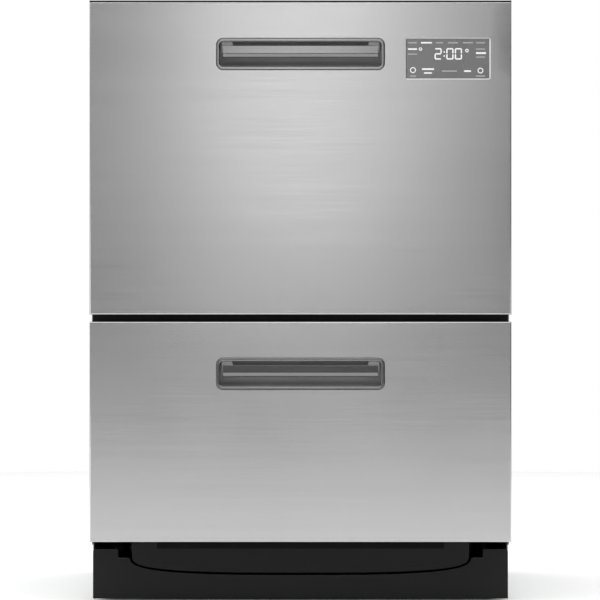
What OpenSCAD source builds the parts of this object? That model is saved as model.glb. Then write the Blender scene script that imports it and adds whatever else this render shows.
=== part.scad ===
// Two-drawer dishwasher: a tall wash drawer over a short one, in one under-counter chassis.
// Millimetres. Z is up, the fronts face -Y, and the origin is on the floor at the centre of the footprint.
// Values in square brackets hold the lower drawer first and the upper drawer second.

/* [Doors] */
// Width across the doors
front_w = 599; // [580:1:620]
// Height of the lower door's bottom edge above the floor
door_z = 87; // [85:1:110]
// Height of the lower door
lower_door_h = 313; // [300:1:360]
// Height of the upper door
upper_door_h = 444; // [410:1:480]
// Gap between the two doors
door_gap = 10; // [6:0.5:16]
// Thickness of a door, skin and frame together
door_t = 28; // [27:0.5:36]
// Thickness of the steel door skin
skin_t = 1; // [0.8:0.1:1.5]
// How far the skin folds back round the door's edges
skin_return = 20; // [12:1:24]
// Outside radius of the skin's folded edges
skin_r = 2; // [1.6:0.1:4]
// Wall of the moulded door frame
frame_wall = 4; // [3:0.5:6]

/* [Handles] */
// Width of a handle bezel
handle_w = 240; // [200:1:300]
// Height of a handle bezel
handle_h = 46; // [42:1:60]
// Outside corner radius of a bezel
handle_r = 9; // [7:0.5:14]
// Distance from a door's top edge to its bezel
handle_drop = 51; // [40:1:80]
// How far a bezel stands proud of the skin
bezel_proud = 1; // [0.6:0.1:2]
// Width of the bezel's rim
bezel_rim = 5; // [4:0.5:7]
// Depth of the finger pocket behind the skin
pocket_depth = 22; // [18:0.5:23]
// Sheet thickness of the pocket
pocket_wall = 1.2; // [0.8:0.1:2]
// Radius of the scoop at the pocket's lower back edge
scoop_r = 9; // [4:0.5:12]
// Height of the curved grip
grip_h = 17; // [14:0.5:20]
// Radius of the grip's curved front
grip_r = 12; // [10:0.5:16]
// Thickness of the grip
grip_t = 2.5; // [1.5:0.1:4]
// How far the grip lies behind the bezel's face
grip_inset = 3; // [2:0.5:5]
// Height of the slot above the grip
grip_slot = 6; // [4:0.5:8]
// Width of the tabs that carry the grip
grip_tab_w = 22; // [12:1:40]

/* [Display] */
// Width of the display window
display_w = 120; // [90:1:150]
// Height of the display window
display_h = 59; // [45:1:80]
// Distance of the window inside the door's right edge
display_inset = 30; // [20:0.5:45]
// Thickness of the window
glass_t = 2.4; // [1.8:0.1:4]
// Thickness of the display's circuit board
board_t = 1.6; // [1:0.1:2.4]

/* [Chassis] */
// Depth from the handle bezels to the back panel
overall_d = 573; // [560:1:610]
// How far each chassis side lies inside the doors' edges
chassis_inset = 1.5; // [1.5:0.5:6]
// Thickness of the chassis sheet steel
sheet_t = 1.2; // [0.8:0.1:2]
// Gap between a door's back and the chassis
door_clear = 3; // [2:0.5:6]
// Width of the folded flanges on the chassis panels
flange_w = 12; // [8:1:16]
// Thickness of the trim strip over the upper door
trim_t = 1.6; // [1:0.1:3]
// How far the brace between the drawers laps behind each door
brace_lap = 5; // [3:0.5:6]
// Depth of the brace between the drawers
brace_d = 30; // [20:1:50]
// Radius of the cabinet and worktop fixing holes
fixing_r = 2.5; // [2:0.1:3.5]
// Distance of the cabinet fixing holes behind the chassis front
fixing_setback = 14; // [10:1:20]
// Distance of the cabinet fixing holes below a tub's rim
fixing_drop = 30; // [20:1:60]
// Distance of the worktop fixing holes inside the chassis sides
worktop_inset = 58; // [30:1:120]
// Distance of the worktop fixing holes behind the chassis front
worktop_setback = 60; // [40:1:100]

/* [Toe kick and base] */
// Height of the toe kick's shoulders above the floor
kick_h = 73; // [66:1:80]
// Chamfer on the toe kick's upper outer corners
kick_chamfer = 3; // [1:0.5:6]
// Height of the toe kick's bottom edge above the floor
kick_lift = 2; // [1:0.5:8]
// Thickness of the toe kick
kick_t = 2; // [1.5:0.5:4]
// How far the toe kick lies behind the chassis front
kick_recess = 25; // [15:1:60]
// Running gap between the toe kick and the lower drawer's belly
kick_gap = 3.5; // [2.5:0.5:6]
// Width of the notch in each shoulder
notch_w = 15.5; // [8:0.5:18]
// Depth of the notch in each shoulder
notch_h = 13; // [6:1:20]
// Height of the base pan's underside above the floor
base_z = 30.3; // [26:0.1:34]
// Thickness of the base pan
base_t = 3; // [2:0.5:4]
// Height of the base pan's walls
base_wall_h = 30; // [20:1:34]

/* [Levelling feet] */
// Radius of a foot's pad
foot_r = 20; // [15:1:24]
// Radius of a foot's threaded stem
stem_r = 5; // [4:0.5:6]
// Height of a foot's underside collar, where it is screwed fully in
foot_seat_z = 22; // [20:0.5:25]
// Length of a stem above its collar
stem_len = 54; // [48:1:70]
// Distance of a foot inside the chassis side
foot_inset = 31; // [23:0.5:34]
// Distance of the front feet behind the toe kick, and of the rear feet before the back panel
foot_setback = 40; // [26:1:80]
// Radius of the bosses that the stems screw into
boss_r = 12; // [8:0.5:16]
// Height of the bosses above the base pan's floor
boss_h = 18; // [12:1:24]

/* [Tubs] */
// Wall of a moulded tub
tub_t = 3; // [2.5:0.5:4]
// Outside corner radius of a tub
tub_r = 24; // [20:1:40]
// Distance from a door's top edge down to its tub's rim
rim_drop = 42; // [40:1:60]
// Width of the rim flange outside the tub wall
rim_w = 7; // [4:0.5:8]
// Thickness of the rim flange
rim_t = 5; // [3:0.5:8]
// Space behind a tub for hoses
rear_space = 45; // [40:1:60]
// Distance from the chassis front to a tub's front wall
tub_setback = 6; // [4:0.5:10]
// Radius of the sump well
sump_r = 80; // [60:1:100]
// Depth of the sump well below the tub
sump_drop = 22; // [15:1:26]
// Width of the ledges that carry a rack
ledge_w = 17; // [14:0.5:20]

/* [Belly pans] */
// How far each side of a belly pan lies inside the chassis
belly_inset = 56; // [54:0.5:76]
// Height of a belly pan
belly_h = 69; // [66:1:76]
// Depth of the rounded part of a belly pan's outline
belly_round = 24; // [16:1:30]
// Squareness of a belly pan's rounded corners, where 2 is an ellipse
belly_power = 3.2; // [2:0.1:5]
// Wall of a belly pan
belly_t = 2.5; // [2:0.5:4]
// Running clearance under a belly pan
belly_clear = 6; // [4:0.5:10]
// How far the front of a belly pan leans back at its top
belly_lean = 12; // [6:1:20]
// How far each end of the leaning part lies inside a belly pan's side
lean_inset = 36; // [28:0.5:70]
// Distance from a belly pan's back to the tub's back wall
belly_setback = 45; // [20:1:80]

/* [Runners] */
// Height of the outer runner member
rail_h = 48; // [40:1:60]
// Sheet thickness of the runner members
rail_t = 1.5; // [1:0.1:2]
// Running gap between two runner members
rail_gap = 0.4; // [0.3:0.05:0.8]
// Length of the runner members
rail_len = 500; // [440:1:515]
// Width of the space for a runner beside a tub
rail_space = 17; // [16:0.5:20]
// Height of the runners above the bottom of a tub
rail_lift = 75; // [50:1:110]

/* [Lids] */
// Height that a lid lifts off its tub
lid_lift = 8; // [6:0.5:10]
// Height of a lid
lid_h = 16; // [12:0.5:18]
// Height of a lid's rubber seal
seal_h = 6; // [4:0.5:8]
// Width of a lid's rubber seal
seal_w = 6; // [4:0.5:8]
// Gap left between seal and rim when a lid is down
seal_gap = 0.3; // [0.2:0.1:1]
// Radius of the pegs that carry a lid
peg_r = 3; // [2:0.5:4]
// Distance of the pegs in front of and behind a tub's centre
peg_y = 120; // [80:1:180]

/* [Racks] */
// Height of a rack's bottom above the tub floor
rack_lift = 58; // [50:1:70]
// Height of a rack's side walls
rack_wall_h = 95; // [70:1:110]
// Diameter of a rack's frame wires
frame_wire = 5; // [4:0.5:6]
// Diameter of a rack's grid wires
grid_wire = 3.6; // [3:0.1:4]
// Diameter of the wires in a rack's walls
wall_wire = 3.2; // [2.6:0.1:3.5]
// Gap between a rack and the tub's side walls
rack_clear = 11.3; // [8:0.1:13]
// Spacing of the grid wires, about
grid_pitch = 46; // [36:1:60]
// Height of the plate tines
tine_h = 72; // [50:1:80]
// Spacing of the plate tines
tine_pitch = 30; // [22:1:40]
// Distance from a rack's front to its fixed row of tines
row_inset = 75; // [70:1:90]
// Distance between the fixed and the folding row of tines
row_gap = 110; // [90:1:130]
// Distance from a rack's side to its rows of tines
tine_margin = 40; // [34:1:60]
// Distance from the upper rack's left side, past the cup shelf, to its rows of tines
cup_margin = 100; // [96:1:120]
// Distance between the upper rack's rows of tines and the cutlery basket
basket_margin = 18; // [17:1:40]
// Width of the folding cup shelf
cup_w = 90; // [60:1:110]

/* [Spray arms, filters and pumps] */
// Gap between a spray arm's sweep and the tub's walls
spray_clear = 19.4; // [12:0.1:40]
// Width of a spray arm at its hub
spray_root_w = 38; // [30:1:46]
// Width of a spray arm at its tips
spray_tip_w = 24; // [16:1:28]
// Thickness of a spray arm
spray_t = 12; // [8:0.5:16]
// Height of a spray arm above the tub floor
spray_lift = 16; // [12:1:20]
// Radius of the spindle that a spray arm turns on
spindle_r = 8; // [6:0.5:10]
// Radius of a filter plate
filter_r = 118; // [100:1:140]
// Thickness of a filter plate
filter_t = 2.5; // [2:0.5:4]
// Radius of a wash pump
pump_r = 68; // [50:1:75]
// Height of a wash pump
pump_h = 34; // [26:1:36]

/* [Dispensers] */
// Width of a dispenser
dispenser_w = 170; // [140:1:220]
// Depth of a dispenser from the tub's front wall
dispenser_d = 32; // [30:1:40]
// Height of a dispenser
dispenser_h = 84; // [60:1:100]
// Gap between a dispenser and a rack's front
dispenser_clear = 10; // [6:1:20]
// Distance of a dispenser's top below the tub's rim
dispenser_drop = 62; // [50:1:90]
// Radius of the rinse aid cap
cap_r = 12.5; // [10:0.5:13]

/* [Cutlery basket] */
// Width of the cutlery basket
basket_w = 84; // [60:1:90]
// Length of the cutlery basket
basket_l = 220; // [150:1:300]
// Height of the cutlery basket
basket_h = 120; // [90:1:150]
// Wall of the cutlery basket
basket_t = 2; // [1.6:0.2:3]

/* [Services] */
// Distance of the recess's centre inside the chassis's left side
service_inset = 148; // [110:1:240]
// Width of the recess for the hoses and the supply cord
service_w = 160; // [130:1:200]
// Height of that recess
service_h = 56; // [54:1:64]
// Height of that recess above the back panel's lower edge
service_lift = 24; // [20:1:30]
// Depth of that recess
service_d = 26; // [24:1:34]
// Radius of the water inlet's thread
inlet_r = 13.2; // [10:0.1:14]
// Radius of the drain spigot
drain_r = 10.5; // [8:0.5:12]
// Radius of the hole for the supply cord
cord_r = 5; // [3:0.5:6]
// Wall of the recess
service_t = 2.5; // [2:0.5:4]
// Width of the controller box
controller_w = 140; // [100:1:180]
// Height of the controller box
controller_h = 110; // [80:1:140]
// Depth of the controller box without its fins
controller_d = 28; // [20:1:34]
// Distance of the controller box inside the chassis's right side
controller_inset = 38; // [20:1:120]

/* [Hidden] */

$fn = 48;
seat = 0.3;     // gap where one piece sits loosely on another
run = 0.05;     // radial clearance of a running fit
cut = 1;        // how far a cutting shape runs past the face that it cuts
LOWER = 0;
UPPER = 1;

// Planes along Y, from the front to the back
front_y = -overall_d / 2;
skin_y = front_y + bezel_proud;
door_back_y = skin_y + door_t;
chassis_y = door_back_y + door_clear;
kick_y = chassis_y + kick_recess;
back_y = overall_d / 2;
back_in_y = back_y - sheet_t;
tub_y = [chassis_y + tub_setback, back_in_y - rear_space];
tub_mid_y = (tub_y[0] + tub_y[1]) / 2;

// Half widths along X
door_x = front_w / 2;
side_x = door_x - chassis_inset;
side_in_x = side_x - sheet_t;
tub_x = side_in_x - rail_space;
tub_in_x = tub_x - tub_t;
belly_x = side_x - belly_inset;
lean_x = belly_x - lean_inset;
display_x = door_x - display_inset - display_w / 2;

// Heights
door_lo = [door_z, door_z + lower_door_h + door_gap];
door_hi = [door_z + lower_door_h, door_lo[UPPER] + upper_door_h];
trim_clear = 0.4;
top_z = door_hi[UPPER] + trim_clear;
brace_lo = door_hi[LOWER] - brace_lap;
brace_hi = door_lo[UPPER] + brace_lap;
base_top = base_z + base_t;
carry_z = [base_top, brace_hi];
belly_lo = [for (z = carry_z) z + belly_clear];
tub_lo = [for (z = belly_lo) z + belly_h];
floor_z = [for (z = tub_lo) z + tub_t];
rim_z = [for (z = door_hi) z - rim_drop];
lid_lo = [for (z = rim_z) z + seal_gap + lid_lift + seal_h];
rail_z = [for (z = tub_lo) z + rail_lift];
rack_z = [for (z = floor_z) z + rack_lift];
spray_z = [for (z = floor_z) z + spray_lift];
dispenser_z = [for (z = rim_z) z - dispenser_drop];
handle_z = [for (z = door_hi) z - handle_drop - handle_h / 2];
display_z = door_hi[UPPER] - handle_drop - display_h / 2;

// Insides of a tub, and the rack that stands in it
tub_in_y = [tub_y[0] + tub_t, tub_y[1] - tub_t];
rack_x = tub_in_x - rack_clear;
rack_y = [tub_in_y[0] + dispenser_d + dispenser_clear, tub_in_y[1] - rack_clear];
fixed_row_y = rack_y[0] + row_inset;
fold_row_y = fixed_row_y + row_gap;
axle_r = 2;
axle_lift = 12;                         // height of the folding tines' axle above the rack's bottom
cup_axle_x = -rack_x + 9;
cup_axle_lift = rack_wall_h + 5;
shelf_wire = 2 * axle_r;
basket_x = rack_x - frame_wire - 4 - basket_w;
basket_y = rack_y[0] + 16;
tine_span = [
    [-rack_x + tine_margin, rack_x - tine_margin],
    [-rack_x + cup_margin, basket_x - basket_margin]
];

// ---------- Building blocks ----------

module block(low, high) {
    translate(low) cube(high - low);
}

// Extrudes a drawing of X and Z from y0 to y1
module along_y(y0, y1) {
    translate([0, y1, 0]) rotate([90, 0, 0]) linear_extrude(height = y1 - y0) children();
}

// Extrudes a drawing of Y and Z from x0 to x1
module along_x(x0, x1) {
    translate([x0, 0, 0]) rotate([90, 0, 90]) linear_extrude(height = x1 - x0) children();
}

// A rectangle with round corners, from its low to its high corner
module round_rect(low, high, r) {
    translate([low[0] + r, low[1]]) square([high[0] - low[0] - 2 * r, high[1] - low[1]]);
    translate([low[0], low[1] + r]) square([high[0] - low[0], high[1] - low[1] - 2 * r]);
    for (x = [low[0] + r, high[0] - r], y = [low[1] + r, high[1] - r]) translate([x, y]) circle(r);
}

module round_plate(low, high, r) {
    translate([0, 0, low[2]]) linear_extrude(height = high[2] - low[2])
        round_rect([low[0], low[1]], [high[0], high[1]], r);
}

// A profile that is round at the two corners of its low Y side only
module round_front(half_w, y0, y1, r) {
    translate([-half_w, y0 + r]) square([2 * half_w, y1 - y0 - r]);
    translate([-half_w + r, y0]) square([2 * (half_w - r), y1 - y0]);
    for (x = [-half_w + r, half_w - r]) translate([x, y0 + r]) circle(r);
}

// A box whose four front edges are round
module soft_front_box(half_w, y0, y1, z0, z1, r) {
    mid_z = (z0 + z1) / 2;
    intersection() {
        translate([0, 0, z0]) linear_extrude(height = z1 - z0) round_front(half_w, y0, y1, r);
        along_x(-half_w, half_w) translate([0, mid_z]) rotate(-90) mirror([1, 0])
            round_front((z1 - z0) / 2, y0, y1, r);
    }
}

// Straight wires of eight flat sides, the distance across the flats being d
module wire_z(x, y, z0, z1, d) {
    translate([x, y, z0]) rotate(22.5) cylinder(d = d / cos(22.5), h = z1 - z0, $fn = 8);
}

module wire_x(x0, x1, y, z, d) {
    translate([x0, y, z]) rotate([0, 90, 0]) rotate(22.5) cylinder(d = d / cos(22.5), h = x1 - x0, $fn = 8);
}

module wire_y(x, y0, y1, z, d) {
    translate([x, y1, z]) rotate([90, 0, 0]) rotate(22.5) cylinder(d = d / cos(22.5), h = y1 - y0, $fn = 8);
}

module rod_x(x0, x1, y, z, r) {
    translate([x0, y, z]) rotate([0, 90, 0]) cylinder(r = r, h = x1 - x0);
}

module rod_y(x, y0, y1, z, r) {
    translate([x, y1, z]) rotate([90, 0, 0]) cylinder(r = r, h = y1 - y0);
}

module both_sides() {
    children();
    mirror([1, 0, 0]) children();
}

// Positions spread evenly from a to b, about pitch apart
function spread(a, b, pitch) = let(n = round((b - a) / pitch)) [for (i = [0:n]) a + (b - a) * i / n];

// ---------- Doors ----------

module handle_outline(k, inset) {
    z = handle_z[k];
    round_rect(
        [-handle_w / 2 + inset, z - handle_h / 2 + inset],
        [handle_w / 2 - inset, z + handle_h / 2 - inset],
        handle_r - inset * 0.8
    );
}

module display_outline(grow) {
    translate([display_x - display_w / 2 - grow, display_z - display_h / 2 - grow])
        square([display_w + 2 * grow, display_h + 2 * grow]);
}

module door_skin(k) {
    color("silver") difference() {
        soft_front_box(door_x, skin_y, skin_y + skin_return, door_lo[k], door_hi[k], skin_r);
        soft_front_box(door_x - skin_t, skin_y + skin_t, skin_y + skin_return + cut,
            door_lo[k] + skin_t, door_hi[k] - skin_t, skin_r - skin_t / 2);
        along_y(skin_y - cut, skin_y + 2 * skin_t) handle_outline(k, bezel_rim - pocket_wall - seat);
        if (k == UPPER) along_y(skin_y - cut, skin_y + 2 * skin_t) display_outline(seat);
    }
}

// Standoffs that hold the display board
module board_posts() {
    for (x = [-1, 1], z = [-1, 1])
        rod_y(display_x + x * (display_w / 2 - 8), board_y + board_t, door_back_y - frame_wall / 2,
            display_z + z * (display_h / 2 - 7), 3);
}

module door_frame(k) {
    lap = 0.5;
    inner_x = door_x - skin_t;
    plinth_x = tub_x - 20;
    plinth_drop = 34;
    color("dimgray") {
        difference() {
            union() {
                soft_front_box(inner_x, skin_y + skin_t, skin_y + skin_return,
                    door_lo[k] + skin_t, door_hi[k] - skin_t, skin_r - skin_t / 2);
                block([-door_x + lap, skin_y + skin_return, door_lo[k] + lap],
                    [door_x - lap, door_back_y, door_hi[k] - lap]);
                block([-plinth_x, door_back_y, tub_lo[k] + 10], [plinth_x, tub_y[0], rim_z[k] - plinth_drop]);
            }
            block([-inner_x + frame_wall, skin_y, door_lo[k] + skin_t + frame_wall],
                [inner_x - frame_wall, door_back_y - frame_wall, door_hi[k] - skin_t - frame_wall]);
        }
        for (x = [-plinth_x / 2, plinth_x / 2])
            block([x - frame_wall / 2, skin_y + skin_t, door_lo[k] + skin_t + frame_wall / 2],
                [x + frame_wall / 2, door_back_y - frame_wall / 2,
                    handle_z[k] - handle_h / 2 - frame_wall]);
        if (k == UPPER) board_posts();
    }
}

// A rim on the skin's face and a drawn pocket behind it, in one pressing
module handle_bezel(k) {
    pocket_y = skin_y + pocket_depth;
    low_z = handle_z[k] - handle_h / 2 + bezel_rim;
    half_w = handle_w / 2 - bezel_rim;
    color("lightgray") {
        difference() {
            union() {
                along_y(front_y, skin_y) handle_outline(k, 0);
                along_y(skin_y - bezel_proud / 2, pocket_y) handle_outline(k, bezel_rim - pocket_wall);
            }
            along_y(front_y - cut, pocket_y - pocket_wall) handle_outline(k, bezel_rim);
        }
        difference() {
            block([-half_w + handle_r, pocket_y - pocket_wall / 2 - scoop_r, low_z - pocket_wall / 2],
                [half_w - handle_r, pocket_y - pocket_wall / 2, low_z + scoop_r]);
            rod_x(-half_w, half_w, pocket_y - pocket_wall - scoop_r, low_z + scoop_r, scoop_r);
        }
    }
}

// A curved bar across the pocket, hung from a tab at each end
module handle_grip(k) {
    half_w = handle_w / 2 - bezel_rim;
    top_z = handle_z[k] + handle_h / 2 - bezel_rim;
    bar_z = top_z - grip_slot - grip_h / 2;
    axis_y = front_y + grip_inset + grip_r;
    chord = sqrt(grip_r * grip_r - grip_h * grip_h / 4);
    tab_y = axis_y - chord;
    color("gray") {
        along_x(-half_w, half_w) intersection() {
            difference() {
                translate([axis_y, bar_z]) circle(grip_r);
                translate([axis_y, bar_z]) circle(grip_r - grip_t);
            }
            translate([axis_y - grip_r - cut, bar_z - grip_h / 2])
                square([grip_r + cut - chord + grip_t, grip_h]);
        }
        both_sides() along_y(tab_y, tab_y + grip_t) intersection() {
            handle_outline(k, bezel_rim);
            polygon([
                [half_w - grip_tab_w, bar_z + grip_h / 2 - grip_t],
                [half_w - 1, bar_z + grip_h / 2 - grip_t],
                [half_w - 1, top_z],
                [half_w - grip_tab_w + 4, top_z]
            ]);
        }
    }
}

// ---------- Display ----------

glass_lip = 3;
board_y = skin_y + glass_t + 4;

module display_window() {
    color("darkgray") {
        along_y(skin_y, skin_y + glass_t) display_outline(0);
        along_y(skin_y + skin_t, skin_y + glass_t) display_outline(glass_lip);
    }
}

module display_board() {
    color("darkgreen") {
        along_y(board_y, board_y + board_t) display_outline(-2);
        // light guide and digit block, up against the window
        along_y(skin_y + glass_t, board_y) display_outline(-12);
    }
    color("black") block([display_x - 30, board_y + board_t, display_z - 10],
        [display_x + 30, board_y + board_t + 6, display_z + 10]);
}

// ---------- Chassis ----------

panel_lo = foot_seat_z + 2;
panel_notch_z = door_z - 6;
rail_y = [chassis_y + 4, chassis_y + 4 + rail_len];
rail_screw_y = [for (s = [0.08, 0.5, 0.92]) rail_y[0] + s * rail_len];
screw_r = 2;
screw_head_r = 4;
screw_head_t = 1.4;
fixing_y = chassis_y + fixing_setback;
fixing_z = [for (z = rim_z) z - fixing_drop];
worktop_x = side_x - worktop_inset;
worktop_y = chassis_y + worktop_setback;

module side_panel() {
    color("lightgray") difference() {
        union() {
            along_x(side_in_x, side_x) polygon([
                [kick_y + kick_t, panel_lo], [back_in_y, panel_lo], [back_in_y, top_z - sheet_t],
                [chassis_y, top_z - sheet_t], [chassis_y, panel_notch_z], [kick_y + kick_t, panel_notch_z]
            ]);
            block([side_x - flange_w, back_in_y - sheet_t, panel_lo], [side_x, back_in_y, top_z - sheet_t]);
        }
        for (z = rail_z, y = rail_screw_y) rod_x(side_in_x - cut, side_x + cut, y, z, screw_r + run);
        for (z = fixing_z) rod_x(side_in_x - cut, side_x + cut, fixing_y, z, fixing_r);
    }
}

service_x = -side_x + service_inset;
service_z = [panel_lo + service_lift, panel_lo + service_lift + service_h];

module back_panel() {
    color("lightgray") difference() {
        block([-side_x, back_in_y, panel_lo], [side_x, back_y, top_z - sheet_t]);
        block([service_x - service_w / 2, back_in_y - cut, service_z[0]],
            [service_x + service_w / 2, back_y + cut, service_z[1]]);
    }
}

module top_panel() {
    fold_h = 8;
    color("lightgray") difference() {
        union() {
            block([-side_x, chassis_y, top_z - sheet_t], [side_x, back_y, top_z]);
            block([-side_in_x, chassis_y, top_z - fold_h], [side_in_x, chassis_y + sheet_t, top_z]);
        }
        for (x = [-worktop_x, worktop_x])
            translate([x, worktop_y, top_z - sheet_t - cut]) cylinder(r = fixing_r, h = sheet_t + 2 * cut);
    }
}

module top_trim() {
    color("black") block([-door_x, skin_y, top_z], [door_x, chassis_y + 25, top_z + trim_t]);
}

module mid_brace() {
    fold_t = 1.5;
    color("black") difference() {
        block([-side_in_x, chassis_y, brace_lo], [side_in_x, chassis_y + brace_d, brace_hi]);
        block([-side_in_x - cut, chassis_y + fold_t, brace_lo + fold_t],
            [side_in_x + cut, chassis_y + brace_d + cut, brace_hi - fold_t]);
    }
}

// Lower half of a rounded trough with straight sides, wider all round by grow
function trough(x, round_h, power, top, steps = 28) = concat(
    [for (i = [0:steps]) let(a = 180 + 180 * i / steps)
        [x * sign(cos(a)) * pow(abs(cos(a)), 2 / power), -round_h * pow(abs(sin(a)), 2 / power)]],
    [[x, top], [-x, top]]
);

module belly_outline(k, grow, top) {
    mid_z = belly_lo[k] + belly_round;
    translate([0, mid_z])
        polygon(trough(belly_x + grow, belly_round + grow, belly_power, top - mid_z));
}

module toe_kick() {
    cut_x = belly_x + kick_gap;
    color("black") along_y(kick_y, kick_y + kick_t) difference() {
        polygon([
            [-side_x, kick_lift], [side_x, kick_lift],
            [side_x, kick_h - kick_chamfer], [side_x - kick_chamfer, kick_h],
            [-side_x + kick_chamfer, kick_h], [-side_x, kick_h - kick_chamfer]
        ]);
        belly_outline(LOWER, kick_gap, kick_h + cut);
        for (s = [-1, 1]) translate([s * (cut_x + notch_w / 2) - (notch_w / 2 + cut), kick_h - notch_h])
            square([notch_w + 2 * cut, notch_h + cut]);
    }
}

foot_x = side_x - foot_inset;
foot_spots = [
    [-foot_x, kick_y + foot_setback], [foot_x, kick_y + foot_setback],
    [-foot_x, back_in_y - foot_setback], [foot_x, back_in_y - foot_setback]
];

module base_pan() {
    wall = 2.5;
    y0 = kick_y + kick_t;
    y1 = back_in_y - sheet_t;
    boss_top = base_top + boss_h;
    color("dimgray") difference() {
        union() {
            block([-side_in_x, y0, base_z], [side_in_x, y1, base_top]);
            along_y(y0, y0 + wall) difference() {
                translate([-side_in_x, base_z]) square([2 * side_in_x, base_wall_h]);
                belly_outline(LOWER, kick_gap + wall, base_z + base_wall_h + cut);
            }
            both_sides() block([side_in_x - wall, y0, base_z], [side_in_x, y1, base_z + base_wall_h]);
            for (p = foot_spots) translate([p[0], p[1], foot_seat_z])
                cylinder(r = boss_r, h = boss_top - foot_seat_z);
        }
        for (p = foot_spots) translate([p[0], p[1], foot_seat_z - cut])
            cylinder(r = stem_r + run, h = boss_top - foot_seat_z + 2 * cut);
    }
}

module foot(spot) {
    pad_h = 6;
    cone_h = 6;
    collar = foot_seat_z - seat;
    translate([spot[0], spot[1], 0]) {
        color("black") cylinder(r = foot_r, h = pad_h);
        color("black") translate([0, 0, pad_h]) cylinder(r1 = foot_r, r2 = foot_r * 0.55, h = cone_h);
        color("silver") translate([0, 0, pad_h + cone_h])
            cylinder(r = foot_r * 0.55, h = collar - pad_h - cone_h, $fn = 6);
        color("silver") translate([0, 0, collar]) cylinder(r = stem_r, h = stem_len);
    }
}

// ---------- Services at the back ----------

recess_y = back_in_y - service_d;
inlet_x = service_x - service_w * 0.28;
drain_x = service_x + service_w * 0.05;
cord_x = service_x + service_w * 0.33;
service_mid_z = (service_z[0] + service_z[1]) / 2;
inlet_collar = 2.5;

module service_recess() {
    flange = 6;
    spigot_len = service_d - 3;
    color("dimgray") difference() {
        union() {
            block([service_x - service_w / 2 - flange, back_in_y - service_t, service_z[0] - flange],
                [service_x + service_w / 2 + flange, back_in_y, service_z[1] + flange]);
            block([service_x - service_w / 2 - service_t, recess_y - service_t, service_z[0] - service_t],
                [service_x + service_w / 2 + service_t, back_in_y, service_z[1] + service_t]);
        }
        difference() {
            block([service_x - service_w / 2, recess_y, service_z[0]],
                [service_x + service_w / 2, back_in_y + cut, service_z[1]]);
            rod_y(drain_x, recess_y - cut, recess_y + spigot_len, service_mid_z, drain_r);
            rod_y(cord_x, recess_y - cut, recess_y + 10, service_mid_z, cord_r + 4);
        }
        rod_y(drain_x, recess_y - service_t - cut, back_y, service_mid_z, drain_r - 2);
        rod_y(cord_x, recess_y - service_t - cut, back_y, service_mid_z, cord_r);
        rod_y(inlet_x, recess_y - service_t - cut, back_y, service_mid_z, inlet_r + inlet_collar + seat);
    }
}

module inlet_valve() {
    body = 34;
    coil_r = 12;
    color("white") difference() {
        union() {
            block([inlet_x - body / 2, recess_y - service_t - body, service_mid_z - body / 2],
                [inlet_x + body / 2, recess_y - service_t, service_mid_z + body / 2]);
            rod_y(inlet_x, recess_y - service_t - cut, recess_y, service_mid_z, inlet_r + inlet_collar);
            rod_y(inlet_x, recess_y - cut, recess_y + service_d - 4, service_mid_z, inlet_r);
            rod_y(inlet_x + body / 2 + coil_r / 2, recess_y - service_t - body + 4, recess_y - service_t - 4,
                service_mid_z, coil_r);
        }
        rod_y(inlet_x, recess_y - service_t - body / 2, recess_y + service_d, service_mid_z, inlet_r - 3);
    }
}

module controller_box() {
    fins = 6;
    fin_h = 4;
    fin_t = 2;
    x1 = side_x - controller_inset;
    x0 = x1 - controller_w;
    z0 = service_z[1] + 40;
    y0 = back_in_y - controller_d;
    color("darkslategray") {
        block([x0, y0, z0], [x1, back_in_y, z0 + controller_h]);
        for (x = spread(x0 + 12, x1 - 18, (controller_w - 30) / (fins - 1)))
            block([x, y0 - fin_h, z0 + 10], [x + fin_t, y0 + cut, z0 + controller_h - 10]);
    }
}

module rail_screw(y, z) {
    rod_x(side_x, side_x + screw_head_t, y, z, screw_head_r);
    rod_x(side_in_x - rail_t, side_x + screw_head_t, y, z, screw_r);
}

module chassis_screws() {
    color("silver") both_sides() for (z = rail_z, y = rail_screw_y) rail_screw(y, z);
}

// ---------- Runners ----------

// A channel that opens towards the tub, between two X positions, as tall as h
module channel(x0, x1, h, z) {
    difference() {
        block([x0, rail_y[0], z - h / 2], [x1, rail_y[1], z + h / 2]);
        block([x0 - cut, rail_y[0] - cut, z - h / 2 + rail_t],
            [x1 - rail_t, rail_y[1] + cut, z + h / 2 - rail_t]);
    }
}

member_step = rail_t + rail_gap;
member_lip = rail_space - 4;

module fixed_rails(k) {
    color("silver") both_sides() difference() {
        channel(side_in_x - member_lip, side_in_x, rail_h, rail_z[k]);
        for (y = rail_screw_y) rod_x(side_in_x - 2 * rail_t, side_in_x + cut, y, rail_z[k], screw_r + run);
    }
}

module mid_rails(k) {
    color("gainsboro") both_sides()
        channel(side_in_x - member_lip, side_in_x - member_step, rail_h - 2 * member_step, rail_z[k]);
}

module drawer_rails(k) {
    color("silver") both_sides()
        channel(tub_x, side_in_x - 2 * member_step, rail_h - 4 * member_step, rail_z[k]);
}

// ---------- Tubs ----------

module tub_slab(grow, z0, z1) {
    round_plate([-tub_x - grow, tub_y[0] - grow, z0], [tub_x + grow, tub_y[1] + grow, z1], tub_r + grow);
}

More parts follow.
